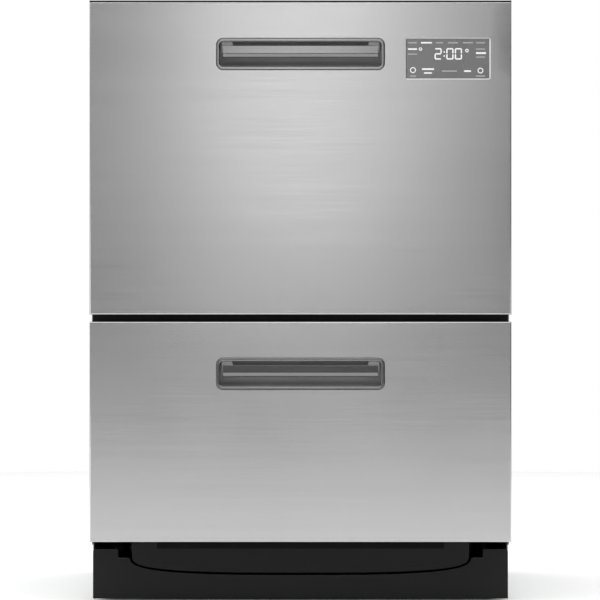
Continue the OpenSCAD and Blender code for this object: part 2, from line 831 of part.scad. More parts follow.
module tub(k) {
    ledge_t = 4;
    ledge_z = rack_z[k] - grid_wire / 2 - ledge_t;
    front_grow = min(rim_w, tub_setback - 1);
    color("whitesmoke") {
        difference() {
            union() {
                tub_slab(0, tub_lo[k], rim_z[k]);
                intersection() {
                    tub_slab(rim_w, rim_z[k] - rim_t, rim_z[k]);
                    block([-tub_x - rim_w, tub_y[0] - front_grow, rim_z[k] - rim_t],
                        [tub_x + rim_w, tub_y[1] + rim_w, rim_z[k]]);
                }
                translate([0, tub_mid_y, tub_lo[k] - sump_drop]) cylinder(r = sump_r, h = sump_drop + tub_t);
            }
            tub_slab(-tub_t, floor_z[k], rim_z[k] + cut);
            translate([0, tub_mid_y, tub_lo[k] - sump_drop + tub_t])
                cylinder(r = sump_r - tub_t, h = sump_drop + tub_t);
            translate([0, tub_mid_y, tub_lo[k] - sump_drop - cut]) cylinder(r = 20, h = tub_t + 2 * cut);
        }
        // ledges for the rack
        both_sides() block([tub_in_x - ledge_w, rack_y[0], ledge_z],
            [tub_in_x + tub_t / 2, rack_y[1], ledge_z + ledge_t]);
    }
}

// ---------- Belly pans ----------

module lean_cut(k, back, x) {
    lean_z = belly_lo[k] + belly_h / 2;
    along_x(-x, x) polygon([
        [belly_y[0] - cut + back, lean_z],
        [belly_y[0] + back, lean_z],
        [belly_y[0] + back + belly_lean, tub_lo[k] + cut],
        [belly_y[0] - cut + back, tub_lo[k] + cut]
    ]);
}

belly_y = [kick_y + kick_t / 2, tub_y[1] - belly_setback];

module belly_pan(k) {
    color("black") difference() {
        along_y(belly_y[0], belly_y[1]) belly_outline(k, 0, tub_lo[k]);
        lean_cut(k, 0, lean_x);
        difference() {
            along_y(belly_y[0] + belly_t, belly_y[1] - belly_t) belly_outline(k, -belly_t, tub_lo[k] + cut);
            lean_cut(k, belly_t, lean_x + belly_t);
        }
    }
}

// ---------- Lids ----------

lid_x = tub_x + 5;
lid_y = [chassis_y + 2, tub_y[1] + 6];
actuator_x = lid_x + 1.2;
peg_lift = lid_h / 2;

// A closed hollow moulding with two pegs in each side
module lid(k) {
    skin = 2.5;
    z = lid_lo[k];
    color("gainsboro") {
        difference() {
            round_plate([-lid_x, lid_y[0], z], [lid_x, lid_y[1], z + lid_h], 12);
            round_plate([-lid_x + skin, lid_y[0] + skin, z + skin],
                [lid_x - skin, lid_y[1] - skin, z + lid_h - skin], 12 - skin);
        }
        both_sides() for (y = [tub_mid_y - peg_y, tub_mid_y + peg_y])
            rod_x(lid_x - skin / 2, side_in_x - 3, y, z + peg_lift, peg_r);
    }
}

module lid_seal(k) {
    color("black") difference() {
        tub_slab(seal_w - 1, rim_z[k] + seal_gap + lid_lift, lid_lo[k]);
        tub_slab(-1, rim_z[k] + seal_gap + lid_lift - cut, lid_lo[k] + cut);
    }
}

module lid_actuators(k) {
    peg_z = lid_lo[k] + peg_lift;
    play = peg_r + seat;
    slot = [peg_z - lid_lift - play, peg_z + play];
    color("dimgray") both_sides() for (y = [tub_mid_y - peg_y, tub_mid_y + peg_y]) difference() {
        block([actuator_x, y - 25, slot[0] - 3], [side_in_x, y + 25, slot[1] + 5]);
        block([actuator_x - cut, y - play, slot[0]], [side_in_x - 2.5, y + play, slot[1]]);
    }
}

// ---------- Racks ----------

// A row of tines, tine_h high above their foot
module tine_comb(x0, x1, y, z, foot) {
    for (x = spread(x0, x1, tine_pitch)) wire_z(x, y, z, z + foot + tine_h, grid_wire);
}

module axle_clip_x(x, k) {
    z = rack_z[k] + axle_lift;
    difference() {
        block([x - 4, fold_row_y - 6, rack_z[k]], [x + 4, fold_row_y + 6, z + 5]);
        rod_x(x - 4 - cut, x + 4 + cut, fold_row_y, z, axle_r + run);
    }
}

module axle_clip_y(y, k) {
    z = rack_z[k] + cup_axle_lift;
    difference() {
        block([-rack_x - 2, y - 4, z - 10], [cup_axle_x + 5, y + 4, z + 5]);
        rod_y(cup_axle_x, y - 4 - cut, y + 4 + cut, z, axle_r + run);
    }
}

cup_clip_y = [rack_y[0] + 45, (rack_y[0] + rack_y[1]) / 2, rack_y[1] - 45];
cross_y = concat(spread(rack_y[0], fixed_row_y, grid_pitch),
    spread(fixed_row_y + grid_pitch, rack_y[1], grid_pitch));
run_x = spread(-rack_x, rack_x, grid_pitch);
weld = 0.5;                             // how far two crossing wires sink into each other
run_z = [for (z = rack_z) z + grid_wire - weld];
grid_top = [for (z = run_z) z + grid_wire / 2];

module rack_floor(k) {
    reach_x = rack_x + wall_wire / 2;
    reach_y = [rack_y[0] - wall_wire / 2, rack_y[1] + wall_wire / 2];
    for (y = cross_y) wire_x(-reach_x, reach_x, y, rack_z[k], grid_wire);
    for (x = run_x) wire_y(x, reach_y[0], reach_y[1], run_z[k], grid_wire);
    for (x = [tine_span[k][0] - 9, tine_span[k][1] + 9]) {
        axle_clip_x(x, k);
        wire_y(x, fold_row_y - grid_pitch, fold_row_y + grid_pitch, run_z[k], grid_wire);
    }
}

// Four flat frames stand round the floor: the two along Y hold the corners
module rack_walls(k) {
    foot = grid_top[k] + seat;
    hoop_z = [rack_z[k] + rack_wall_h / 2, rack_z[k] + rack_wall_h];
    side_wire = frame_wire - 0.3;
    end_x = rack_x - side_wire / 2 - seat;
    corner_y = [rack_y[0] - frame_wire / 2, rack_y[1] + frame_wire / 2];
    for (x = [-rack_x, rack_x]) {
        for (y = cross_y) wire_z(x, y, foot, hoop_z[1], wall_wire);
        for (z = hoop_z) wire_y(x, corner_y[0], corner_y[1], z, side_wire);
    }
    for (y = rack_y) {
        for (i = [1:len(run_x) - 2]) wire_z(run_x[i], y, foot, hoop_z[1], wall_wire);
        for (z = hoop_z) wire_x(-end_x, end_x, y, z, frame_wire);
    }
    if (k == UPPER) for (y = cup_clip_y) axle_clip_y(y, k);
}

// The row of tines that stays up, on a wire that lies across the rack's floor
module fixed_tines(k) {
    z = grid_top[k] + seat + grid_wire / 2;
    wire_x(tine_span[k][0] - 6, tine_span[k][1] + 6, fixed_row_y, z, grid_wire);
    tine_comb(tine_span[k][0], tine_span[k][1], fixed_row_y, z, axle_lift + rack_z[k] - z);
}

module rack(k) {
    color("slategray") {
        rack_floor(k);
        rack_walls(k);
        fixed_tines(k);
    }
}

module fold_tines(k) {
    z = rack_z[k] + axle_lift;
    color("slategray") {
        rod_x(tine_span[k][0] - 15, tine_span[k][1] + 15, fold_row_y, z, axle_r);
        tine_comb(tine_span[k][0] + 4, tine_span[k][1] - 4, fold_row_y, z, 0);
    }
}

module cup_rack() {
    z = rack_z[UPPER] + cup_axle_lift;
    y = [rack_y[0] + 30, rack_y[1] - 30];
    shelf_x = cup_axle_x + cup_w;
    color("slategray") {
        rod_y(cup_axle_x, y[0], y[1], z, axle_r);
        for (x = [cup_axle_x + cup_w / 2, shelf_x]) wire_y(x, y[0], y[1], z, shelf_wire);
        for (s = [0:14]) {
            across = y[0] + 6 + s * (y[1] - y[0] - 12) / 14;
            clear = min([for (c = cup_clip_y) abs(c - across)]);
            if (clear > 7) wire_x(cup_axle_x, shelf_x, across, z, grid_wire);
        }
    }
}

// The basket clips together from flat panels: floor, long sides, ends and the walls between the cells
module cutlery_basket() {
    z0 = grid_top[UPPER];
    x = [basket_x, basket_x + basket_w];
    y = [basket_y, basket_y + basket_l];
    z = [z0 + basket_t + seat, z0 + basket_h];
    cells = 3;
    cell_l = (basket_l - basket_t) / cells;
    bar = 4;
    rows = 5;
    row_h = (basket_h - 16) / rows;
    hole_w = (basket_w - 16) / 3;
    hole_l = (cell_l - basket_t - 4 * bar) / 3;
    hole_y = [for (i = [0:cells - 1], c = [0:2]) y[0] + basket_t + i * cell_l + bar + c * (hole_l + bar)];
    color("gray") {
        difference() {
            block([x[0], y[0], z0], [x[1], y[1], z0 + basket_t]);
            for (h = hole_y, c = [0:2]) block([x[0] + 8 + c * hole_w, h, z0 - cut],
                [x[0] + 8 + (c + 1) * hole_w - bar, h + hole_l, z0 + basket_t + cut]);
        }
        for (side = [x[0], x[1] - basket_t]) difference() {
            block([side, y[0], z[0]], [side + basket_t, y[1], z[1]]);
            for (h = hole_y, r = [0:rows - 1]) block([side - cut, h, z0 + 8 + r * row_h],
                [side + basket_t + cut, h + hole_l, z0 + 8 + (r + 1) * row_h - bar]);
        }
        for (i = [0:cells]) block([x[0] + basket_t + seat, y[0] + i * cell_l, z[0]],
            [x[1] - basket_t - seat, y[0] + i * cell_l + basket_t, z[1]]);
    }
}

// ---------- Wash system ----------

shoulder_r = spindle_r + 4;
spindle_top = spray_t + seat;

module wash_pump(k) {
    top = tub_lo[k] - sump_drop;
    shoulder_z = spray_z[k] - seat;
    cap_z = spray_z[k] + spindle_top;
    color("dimgray") translate([0, tub_mid_y, 0]) {
        translate([0, 0, top - pump_h]) cylinder(r = pump_r, h = pump_h);
        translate([0, 0, top - cut]) cylinder(r = 20 - seat, h = cut + tub_t - seat);
        translate([0, 0, top - cut]) cylinder(r = shoulder_r, h = shoulder_z - top + cut);
        translate([0, 0, top]) cylinder(r = spindle_r, h = cap_z - top + 1);
        translate([0, 0, cap_z]) cylinder(r = spindle_r + 3, h = 4);
        // discharge pipe towards the back
        rod_y(pump_r / 2, 0, pump_r + 40, top - pump_h / 2, 10);
    }
}

module filter_plate(k) {
    color("darkgray") translate([0, tub_mid_y, floor_z[k]]) difference() {
        cylinder(r = filter_r, h = filter_t);
        translate([0, 0, -cut]) cylinder(r = shoulder_r + 2, h = filter_t + 2 * cut);
        for (i = [0:23]) rotate(i * 15) block([24, -1.5, -cut], [44, 1.5, filter_t + cut]);
        for (i = [0:35]) rotate(i * 10 + 5) block([50, -1.5, -cut], [72, 1.5, filter_t + cut]);
    }
}

module spray_arm(k) {
    sweep = (tub_in_y[1] - tub_in_y[0]) / 2 - spray_clear;
    reach = sweep - spray_tip_w / 2;
    root = spray_root_w / 2;
    tip = spray_tip_w / 2;
    jets = 6;
    color("gray") translate([0, tub_mid_y, spray_z[k]]) difference() {
        union() {
            cylinder(r = root + 5, h = spray_t);
            linear_extrude(height = spray_t - 2) {
                polygon([[-reach, -tip], [0, -root], [reach, -tip], [reach, tip], [0, root], [-reach, tip]]);
                for (s = [-1, 1]) translate([s * reach, 0]) circle(tip);
            }
            for (s = [-1, 1], i = [1:jets])
                translate([s * i * reach / (jets + 0.5), s * (i % 2 == 0 ? 4 : -4), 0])
                    cylinder(r = 3, h = spray_t - 0.5);
        }
        translate([0, 0, -cut]) cylinder(r = spindle_r + run, h = spray_t + 2 * cut);
    }
}

// ---------- Dispensers ----------

cup_x = [-70, 20];
cup_h = 45;
hinge_off = 4.5;
hinge_lift = 4;
hinge_pin_r = 1.5;
ear_x = [cup_x[0] + 4, cup_x[1] - 4];
ear_w = 6;
cap_x = 55;
cap_stub_r = cap_r - 3.5;
cap_y = tub_in_y[0] + dispenser_d / 2;
hinge_y = tub_in_y[0] + hinge_off;

module dispenser(k) {
    z = dispenser_z[k];
    y = tub_in_y[0];
    axis_z = z + hinge_lift;
    color("silver") difference() {
        union() {
            block([-dispenser_w / 2, y, z - dispenser_h], [dispenser_w / 2, y + dispenser_d, z]);
            for (x = [ear_x[0] - ear_w, ear_x[1]]) {
                block([x, hinge_y - 3, z - cut], [x + ear_w, hinge_y + 3, axis_z]);
                rod_x(x, x + ear_w, hinge_y, axis_z, 3);
            }
        }
        block([cup_x[0], y + 8.5, z - cup_h], [cup_x[1], y + dispenser_d - 3.5, z + cut]);
        rod_x(ear_x[0] - ear_w - cut, ear_x[1] + ear_w + cut, hinge_y, axis_z, hinge_pin_r + run);
        translate([cap_x, cap_y, z - 14]) cylinder(r = cap_stub_r + run, h = 14 + cut);
    }
}

module dispenser_flap(k) {
    z = dispenser_z[k] + 0.5;
    axis_z = dispenser_z[k] + hinge_lift;
    plate = [hinge_y + 3.5, tub_in_y[0] + dispenser_d - 1];
    color("gainsboro") {
        block([cup_x[0] - 4, plate[0], z], [cup_x[1] + 4, plate[1], z + 3]);
        block([ear_x[0] + seat, hinge_y, z], [ear_x[1] - seat, plate[0] + cut, z + 3]);
        rod_x(ear_x[0] + seat, ear_x[1] - seat, hinge_y, axis_z, 3);
        rod_x(ear_x[0] - ear_w + 1, ear_x[1] + ear_w - 1, hinge_y, axis_z, hinge_pin_r);
    }
}

module rinse_cap(k) {
    z = dispenser_z[k] + seat;
    color("steelblue") translate([cap_x, cap_y, 0]) {
        translate([0, 0, z]) cylinder(r = cap_r, h = 5);
        translate([0, 0, z - 12]) cylinder(r = cap_stub_r, h = 13);
        block([-cap_r + 2, -1.5, z + 4], [cap_r - 2, 1.5, z + 10]);
    }
}

// ---------- Nodes ----------

mirror([1, 0, 0]) side_panel();  // left_side_panel
side_panel();  // right_side_panel
back_panel();
base_pan();
top_panel();
top_trim();
mid_brace();
toe_kick();
controller_box();
inlet_valve();
service_recess();
chassis_screws();
foot(foot_spots[0]);  // foot_front_left
foot(foot_spots[1]);  // foot_front_right
foot(foot_spots[2]);  // foot_rear_left
foot(foot_spots[3]);  // foot_rear_right
fixed_rails(LOWER);  // lower_fixed_rails
mid_rails(LOWER);  // lower_mid_rails
drawer_rails(LOWER);  // lower_drawer_rails
lid_actuators(LOWER);  // lower_lid_actuators
lid(LOWER);  // lower_lid
lid_seal(LOWER);  // lower_lid_seal
door_skin(LOWER);  // lower_door_skin
door_frame(LOWER);  // lower_door_frame
handle_bezel(LOWER);  // lower_handle_bezel
handle_grip(LOWER);  // lower_handle_grip
tub(LOWER);  // lower_tub
belly_pan(LOWER);  // lower_belly_pan
wash_pump(LOWER);  // lower_wash_pump
filter_plate(LOWER);  // lower_filter_plate
spray_arm(LOWER);  // lower_spray_arm
rack(LOWER);  // lower_rack
fold_tines(LOWER);  // lower_fold_tines
dispenser(LOWER);  // lower_dispenser
dispenser_flap(LOWER);  // lower_dispenser_flap
rinse_cap(LOWER);  // lower_rinse_cap
fixed_rails(UPPER);  // upper_fixed_rails
mid_rails(UPPER);  // upper_mid_rails
drawer_rails(UPPER);  // upper_drawer_rails
lid_actuators(UPPER);  // upper_lid_actuators
lid(UPPER);  // upper_lid
lid_seal(UPPER);  // upper_lid_seal
door_skin(UPPER);  // upper_door_skin
door_frame(UPPER);  // upper_door_frame
handle_bezel(UPPER);  // upper_handle_bezel
handle_grip(UPPER);  // upper_handle_grip
tub(UPPER);  // upper_tub
belly_pan(UPPER);  // upper_belly_pan
wash_pump(UPPER);  // upper_wash_pump
filter_plate(UPPER);  // upper_filter_plate
spray_arm(UPPER);  // upper_spray_arm
rack(UPPER);  // upper_rack
fold_tines(UPPER);  // upper_fold_tines
dispenser(UPPER);  // upper_dispenser
dispenser_flap(UPPER);  // upper_dispenser_flap
rinse_cap(UPPER);  // upper_rinse_cap
display_window();
display_board();
cutlery_basket();
cup_rack();
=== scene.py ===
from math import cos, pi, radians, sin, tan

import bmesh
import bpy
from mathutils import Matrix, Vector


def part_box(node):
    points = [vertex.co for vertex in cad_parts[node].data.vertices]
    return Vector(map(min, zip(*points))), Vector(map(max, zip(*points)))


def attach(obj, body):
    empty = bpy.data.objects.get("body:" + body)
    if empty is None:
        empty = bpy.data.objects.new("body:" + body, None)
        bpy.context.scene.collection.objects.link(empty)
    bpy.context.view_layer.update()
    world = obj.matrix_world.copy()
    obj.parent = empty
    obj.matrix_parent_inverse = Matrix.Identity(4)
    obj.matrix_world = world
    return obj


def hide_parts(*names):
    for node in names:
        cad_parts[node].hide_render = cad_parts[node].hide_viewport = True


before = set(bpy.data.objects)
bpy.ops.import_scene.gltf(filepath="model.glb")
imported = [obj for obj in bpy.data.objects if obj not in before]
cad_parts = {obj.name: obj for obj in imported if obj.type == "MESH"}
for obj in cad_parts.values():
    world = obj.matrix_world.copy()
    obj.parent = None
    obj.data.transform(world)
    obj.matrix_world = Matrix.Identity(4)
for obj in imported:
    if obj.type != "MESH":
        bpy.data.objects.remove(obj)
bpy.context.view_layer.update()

# %% [markdown]
# # A dishwasher with two drawers
#
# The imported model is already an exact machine: every panel, tub and runner has its size and its place.
# What it lacks is what the eye reads first. Real steel is brushed, real wire is round and bent, and real
# mouldings have soft edges. This lesson dresses the machine step by step, from the fronts to the feet,
# and sets the light and the camera last.
#
# New pieces take their places from those corners, so that nothing has to be fitted by eye.

MM = 0.001
DRAWERS = ("lower", "upper")
print("solids in the frame:", len(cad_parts))

# %% [markdown]
# ## Sums inside a material
#
# A material is a web of small nodes, and drawing one by hand takes a line for each node and each link.
# A class that wraps a socket lets Python's own signs do that work: `noise * 0.2 + 0.4` adds two Math
# nodes and joins them. The signs need their reflected forms too, so that `1 - mask` works.
#
# Colours would turn grey in a Math node. They go through a Mix node instead, which `mix` adds.

# %% A socket that can be used in sums
class Wire:
    """One output in a material's nodes."""

    def __init__(self, tree, socket):
        self.tree = tree
        self.socket = socket

    def node(self, kind, settings=None, inputs=None, output=0):
        """Adds a node of any kind: its settings first, then the values or links of its inputs."""
        made = self.tree.nodes.new("ShaderNode" + kind)
        for name, value in (settings or {}).items():
            if name == "stops":
                set_stops(made.color_ramp, value)
            else:
                setattr(made, name, value)
        for name, value in (inputs or {}).items():
            plug(self.tree, made.inputs[name], value)
        return Wire(self.tree, made.outputs[output])

    def maths(self, operation, *values):
        return self.node("Math", {"operation": operation}, dict(enumerate(values)))

    def __add__(self, other):
        return self.maths("ADD", self, other)

    def __sub__(self, other):
        return self.maths("SUBTRACT", self, other)

    def __rsub__(self, other):
        return self.maths("SUBTRACT", other, self)

    def __mul__(self, other):
        return self.maths("MULTIPLY", self, other)

    __radd__ = __add__
    __rmul__ = __mul__

    def step(self, start, end):
        """0 below start and 1 above end, with a soft rise between them."""
        limits = {"Value": self, "From Min": start, "From Max": end}
        return self.node("MapRange", {"interpolation_type": "SMOOTHSTEP"}, limits)

    def mix(self, first, second):
        """The first colour where this is 0, and the second where it is 1."""
        return self.node("Mix", {"data_type": "RGBA"}, {0: self, 6: first, 7: second}, output=2)

    def stretch(self, x, y, z):
        return self.node("Mapping", None, {"Vector": self, "Scale": (x, y, z)})

    def noise(self, size, detail=2.0):
        """Cloudy noise whose lumps are about that many metres across."""
        return self.node("TexNoise", None, {"Vector": self, "Scale": 1 / size, "Detail": detail})


def set_stops(ramp, stops):
    while len(ramp.elements) < len(stops):
        ramp.elements.new(0.5)
    for element, (place, colour) in zip(ramp.elements, stops):
        element.position = place
        element.color = colour


def plug(tree, socket, value):
    if isinstance(value, Wire):
        tree.links.new(value.socket, socket)
    else:
        socket.default_value = value


def grey(level, warmth=0.0):
    """A grey of that linear level. A warmth above 0 is yellower, and one below 0 is bluer."""
    return (level * (1 + warmth), level, level * (1 - warmth), 1.0)


print("a mid grey:", grey(0.5))

# %% [markdown]
# ## A finish
#
# `Finish` keeps a material, its shader and the place of each point on the object. That place is in
# Object coordinates, which are metres here, because every piece's origin is the machine's own. A grain
# of 2 mm is then 2 mm on a door and on a foot.

# %% A material and its shader
class Finish:
    """A material with one shader, fed by name."""

    def __init__(self, name, slot, inputs):
        self.slot = slot
        self.material = bpy.data.materials.new(name)
        self.material.use_nodes = True
        self.tree = self.material.node_tree
        self.shader = self.tree.nodes["Principled BSDF"]
        self.place = Wire(self.tree, self.tree.nodes.new("ShaderNodeTexCoord").outputs["Object"])
        self.feed(inputs)

    def feed(self, inputs):
        for name, value in inputs.items():
            plug(self.tree, self.shader.inputs[name], value)

    def bump(self, height, depth, strength=1.0):
        """Dents the surface by the height, which runs from 0 to 1 over that depth in metres."""
        dents = {"Height": height, "Distance": depth, "Strength": strength}
        self.feed({"Normal": height.node("Bump", None, dents)})


# %% [markdown]
# ## Brushed and satin steel
#
# A belt of abrasive runs along the sheet before it is folded, and leaves scratches much longer than they
# are wide. Noise squeezed in one direction gives the same streaks. On the fronts they run from side to
# side, so the noise changes fast along Z and hardly at all along X.
#
# The streaks change the roughness a little and dent the surface by a few thousandths of a millimetre.
# Larger, fainter clouds keep the sheet from looking like a flat tone.

# %% Steel finishes
def brushed_steel(name, slot, level, roughness, along="x"):
    steel = Finish(name, slot, {"Metallic": 1.0})
    long, fine = 9.0, 1500.0
    squeeze = {"x": (long, fine, fine), "y": (fine, long, fine), "z": (fine, fine, long)}[along]
    streaks = steel.place.stretch(*squeeze).noise(1.0, 3.0)
    bands = steel.place.stretch(*[factor / 9 for factor in squeeze]).noise(1.0, 2.0)
    clouds = steel.place.noise(0.22, 2.0)
    tone = streaks * 0.35 + bands * 0.3 + clouds * 0.35
    steel.feed({
        "Base Color": tone.step(0.3, 0.7).mix(grey(level * 0.965), grey(level * 1.035)),
        "Roughness": streaks * 0.1 + clouds * 0.04 + (roughness - 0.07),
    })
    steel.bump(streaks + bands, 0.000012, 0.5)
    return steel


door_steel = brushed_steel("brushed door steel", "brushed_stainless", 0.56, 0.24)
bezel_steel = brushed_steel("polished pressed steel", "plain_stainless", 0.24, 0.16)
trim_steel = brushed_steel("polished trim steel", "plain_stainless", 0.5, 0.2)
grip_steel = brushed_steel("satin grip steel", "plain_stainless", 0.21, 0.15)
runner_steel = brushed_steel("rolled runner steel", "runner_steel", 0.58, 0.3, "y")
print("steels:", door_steel.material.name, "and four more")

# %% [markdown]
# ## Galvanised sheet
#
# The chassis is folded from zinc-coated sheet. Zinc freezes in flat crystals a few millimetres across,
# and each crystal shines a little differently. A Voronoi texture gives cells of that size, and each
# cell's random colour sets its tone and its roughness.

# %% Galvanised sheet
def galvanised_sheet():
    zinc = Finish("galvanised sheet", "galvanised_sheet", {"Metallic": 0.9})
    wobble = zinc.place.noise(0.02, 2.0)
    cells = {"Vector": zinc.place, "Scale": 90.0, "Randomness": 1.0}
    crystals = zinc.place.node("TexVoronoi", None, cells, output=1)
    facet = crystals.node("SeparateColor", None, {"Color": crystals})
    handled = zinc.place.noise(0.16, 3.0)
    tone = facet * 0.6 + wobble * 0.2 + handled * 0.2
    zinc.feed({
        "Base Color": tone.mix(grey(0.3, -0.02), grey(0.44, -0.015)),
        "Roughness": facet * 0.14 + handled * 0.1 + 0.34,
    })
    zinc.bump(facet * 0.5 + wobble, 0.00004, 0.25)
    return zinc


zinc = galvanised_sheet()
print("sheet finish:", zinc.material.name)

# %% [markdown]
# ## Moulded plastics, rubber and coated wire
#
# The mouldings differ in colour and gloss, but share a fine grain that the mould gives them and a slow
# change of gloss where hands, water and flow marks have been. One function makes them all. The coat adds
# the thin shine that a dipped nylon coat or a glossy moulding has.

# %% Plastic finishes
def moulding(name, slot, colour, roughness, grain=0.0012, depth=0.00003, coat=0.0, shine=0.45):
    plastic = Finish(name, slot, {"Coat Roughness": 0.12, "Specular IOR Level": shine})
    texture = plastic.place.noise(grain, 3.0)
    flow = plastic.place.noise(0.09, 2.0)
    dark = tuple(part * 0.9 for part in colour[:3]) + (1.0,)
    pale = tuple(part * 1.08 for part in colour[:3]) + (1.0,)
    plastic.feed({
        "Base Color": (texture * 0.3 + flow * 0.7).step(0.25, 0.75).mix(dark, pale),
        "Roughness": texture * 0.1 + flow * 0.1 + (roughness - 0.1),
        "Coat Weight": coat,
    })
    plastic.bump(texture, depth, 0.4)
    return plastic


black_moulding = moulding("black textured moulding", "black_moulding", grey(0.006), 0.55, shine=0.28)
pocket_paint = moulding("grey pocket paint", "plain_stainless", grey(0.31), 0.4)
grey_moulding = moulding("grey moulding", "grey_moulding", grey(0.3, -0.01), 0.42)
pale_moulding = moulding("pale moulding", "pale_moulding", grey(0.7, -0.01), 0.38)
tub_moulding = moulding("tub moulding", "tub_moulding", grey(0.5, -0.025), 0.3, 0.004, 0.00002, 0.1)
coated_wire = moulding("nylon coated wire", "coated_wire", grey(0.34, -0.03), 0.34, 0.003, 0.00004, 0.25)
seal_rubber = moulding("seal rubber", "seal_rubber", grey(0.03), 0.62, 0.0016, 0.00004)
valve_moulding = moulding("white nylon", "valve_moulding", grey(0.78, 0.01), 0.32, 0.002, 0.00002, 0.1)
board_green = moulding("solder mask", "circuit_board", (0.02, 0.12, 0.05, 1), 0.3, 0.0008, 0.00003, 0.3)
print("mouldings:", sum("moulding" in material.name for material in bpy.data.materials))

# %% [markdown]
# ## What each solid is made of
#
# Most of the solids keep their shape and only take a finish. The table goes from finish to names, with
# one entry where both drawers have the piece. Pieces that are made anew further down stand in for their
# solids then.

# %% Finishes for the solids
FEET = tuple("foot_" + place for place in ("front_left", "front_right", "rear_left", "rear_right"))
WORN_BY = {
    zinc: ["left_side_panel", "right_side_panel", "back_panel", "base_pan", "top_panel",
           "chassis_screws"],
    black_moulding: ["top_trim", "mid_brace", "toe_kick", "belly_pan"],
    runner_steel: ["fixed_rails", "mid_rails", "drawer_rails"],
    grey_moulding: ["controller_box", "service_recess", "lid_actuators", "door_frame", "wash_pump",
                    "dispenser_flap", "spray_arm", *FEET],
    pale_moulding: ["dispenser", "rinse_cap", "cutlery_basket"],
    tub_moulding: ["tub", "lid"],
    coated_wire: ["rack", "fold_tines", "cup_rack"],
    seal_rubber: ["lid_seal"],
    door_steel: ["door_skin"],
    bezel_steel: ["handle_bezel", "filter_plate"],
    grip_steel: ["handle_grip"],
    valve_moulding: ["inlet_valve"],
    board_green: ["display_board"],
}
dressed = 0
for finish, names in WORN_BY.items():
    for name in names:
        for node_name in [name] + [drawer + "_" + name for drawer in DRAWERS]:
            if node_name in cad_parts:
                for material_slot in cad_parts[node_name].material_slots:
                    material_slot.material = finish.material
                dressed += 1
print("solids with a finish:", dressed, "of", len(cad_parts))

# %% [markdown]
# ## Making and seating a piece
#
# A new piece is a bmesh until it is done. `seat` turns it into an object at the origin, gives it its
# finish, lets it ride on the body that carries it, and hides the solid that it stands for. Faces that
# meet at less than 35 degrees are shaded as one round surface.
#
# Smooth shading alone would bend the light over a large flat face beside a small round edge, because the
# two share their corner normals. A Weighted Normal modifier lets the large face have its way there. An
# open rim is marked sharp, so that the narrow wall that Solidify adds on it bends no light either.

# %% Helpers that every piece uses
ACROSS, BACK, UP = Vector((1, 0, 0)), Vector((0, 1, 0)), Vector((0, 0, 1))
OUT, DOWN = -BACK, -UP


def seat(name, bm, finish, body, stands_for=()):
    """Makes an object of a bmesh and gives it its finish and its body."""
    mesh = bpy.data.meshes.new(name)
    for face in bm.faces:
        face.smooth = True
    bm.edges.index_update()
    rims = [edge.index for edge in bm.edges if edge.is_boundary]
    bm.to_mesh(mesh)
    bm.free()
    mesh.set_sharp_from_angle(angle=radians(35))
    for index in rims:
        mesh.edges[index].use_edge_sharp = True
    piece = bpy.data.objects.new(name, mesh)
    bpy.context.scene.collection.objects.link(piece)
    mesh.materials.append(finish.material)
    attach(piece, body)
    if stands_for:
        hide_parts(*stands_for)
    piece.modifiers.new("even shading", "WEIGHTED_NORMAL").keep_sharp = True
    print(name, "has", len(mesh.polygons), "faces")
    return piece


def faces_at(verts):
    return list({face for vert in verts for face in vert.link_faces})


def edges_of(faces):
    return list({edge for face in faces for edge in face.edges})


def verts_of(faces):
    return list({vert for face in faces for vert in face.verts})


def thicken(piece, thickness):
    """Gives a sheet its wall, on the side that its faces look away from."""
    wall = piece.modifiers.new("wall", "SOLIDIFY")
    wall.thickness = thickness
    wall.offset = -1
    piece.modifiers.move(1, 0)


def block(bm, low, high):
    """Adds a box between two corners and returns its faces."""
    low, high = Vector(low), Vector(high)
    place = Matrix.Translation((low + high) / 2) @ Matrix.Diagonal((*(high - low), 1))
    made = bmesh.ops.create_cube(bm, size=1.0, matrix=place)
    return faces_at(made["verts"])


def soften(bm, edges, radius, segments=3):
    return bmesh.ops.bevel(bm, geom=edges, offset=radius, offset_type="OFFSET", affect="EDGES",
                           segments=segments, profile=0.5, material=-1, clamp_overlap=True)


def soft_block(bm, low, high, radius, segments=3):
    """Adds a box with all its edges rounded."""
    soften(bm, edges_of(block(bm, low, high)), radius, segments)


def plate_face(bm, low, high, radius, segments=6, into=BACK):
    """Adds a flat face with round corners between two points. It looks away from that direction."""
    low, high = Vector(low), Vector(high)
    size = high - low
    place = Matrix.Translation((low + high) / 2)
    if into.y:
        place = place @ Matrix.Diagonal((size.x, 1, size.z, 1)) @ Matrix.Rotation(pi / 2, 4, "X")
    else:
        place = place @ Matrix.Diagonal((size.x, size.y, 1, 1))
    made = bmesh.ops.create_grid(bm, x_segments=1, y_segments=1, size=0.5, matrix=place)
    face = made["verts"][0].link_faces[0]
    if radius > 0:
        before = set(bm.faces) - {face}
        bmesh.ops.bevel(bm, geom=made["verts"], offset=radius, offset_type="OFFSET", affect="VERTICES",
                        segments=segments, profile=0.5, material=-1)
        face = next(f for f in bm.faces if f not in before)
    face.normal_update()
    if face.normal.dot(into) > 0:
        face.normal_flip()
    return face


def pushed(bm, face, by):
    """Extrudes a face by a vector and returns the new end."""
    grown = bmesh.ops.extrude_face_region(bm, geom=[face])["geom"]
    end = next(item for item in grown if isinstance(item, bmesh.types.BMFace))
    bmesh.ops.translate(bm, vec=by, verts=end.verts)
    return end


def sink(bm, face, inset, depth, into=BACK):
    """Makes a face smaller by inset all round, and moves it by depth in that direction."""
    if inset > 0:
        bmesh.ops.inset_region(bm, faces=[face], thickness=inset, use_boundary=True,
                               use_even_offset=True)
        bmesh.ops.translate(bm, vec=into * depth, verts=face.verts)
        return face
    end = pushed(bm, face, into * depth)
    if face.is_valid:
        bmesh.ops.delete(bm, geom=[face], context="FACES_ONLY")
    return end


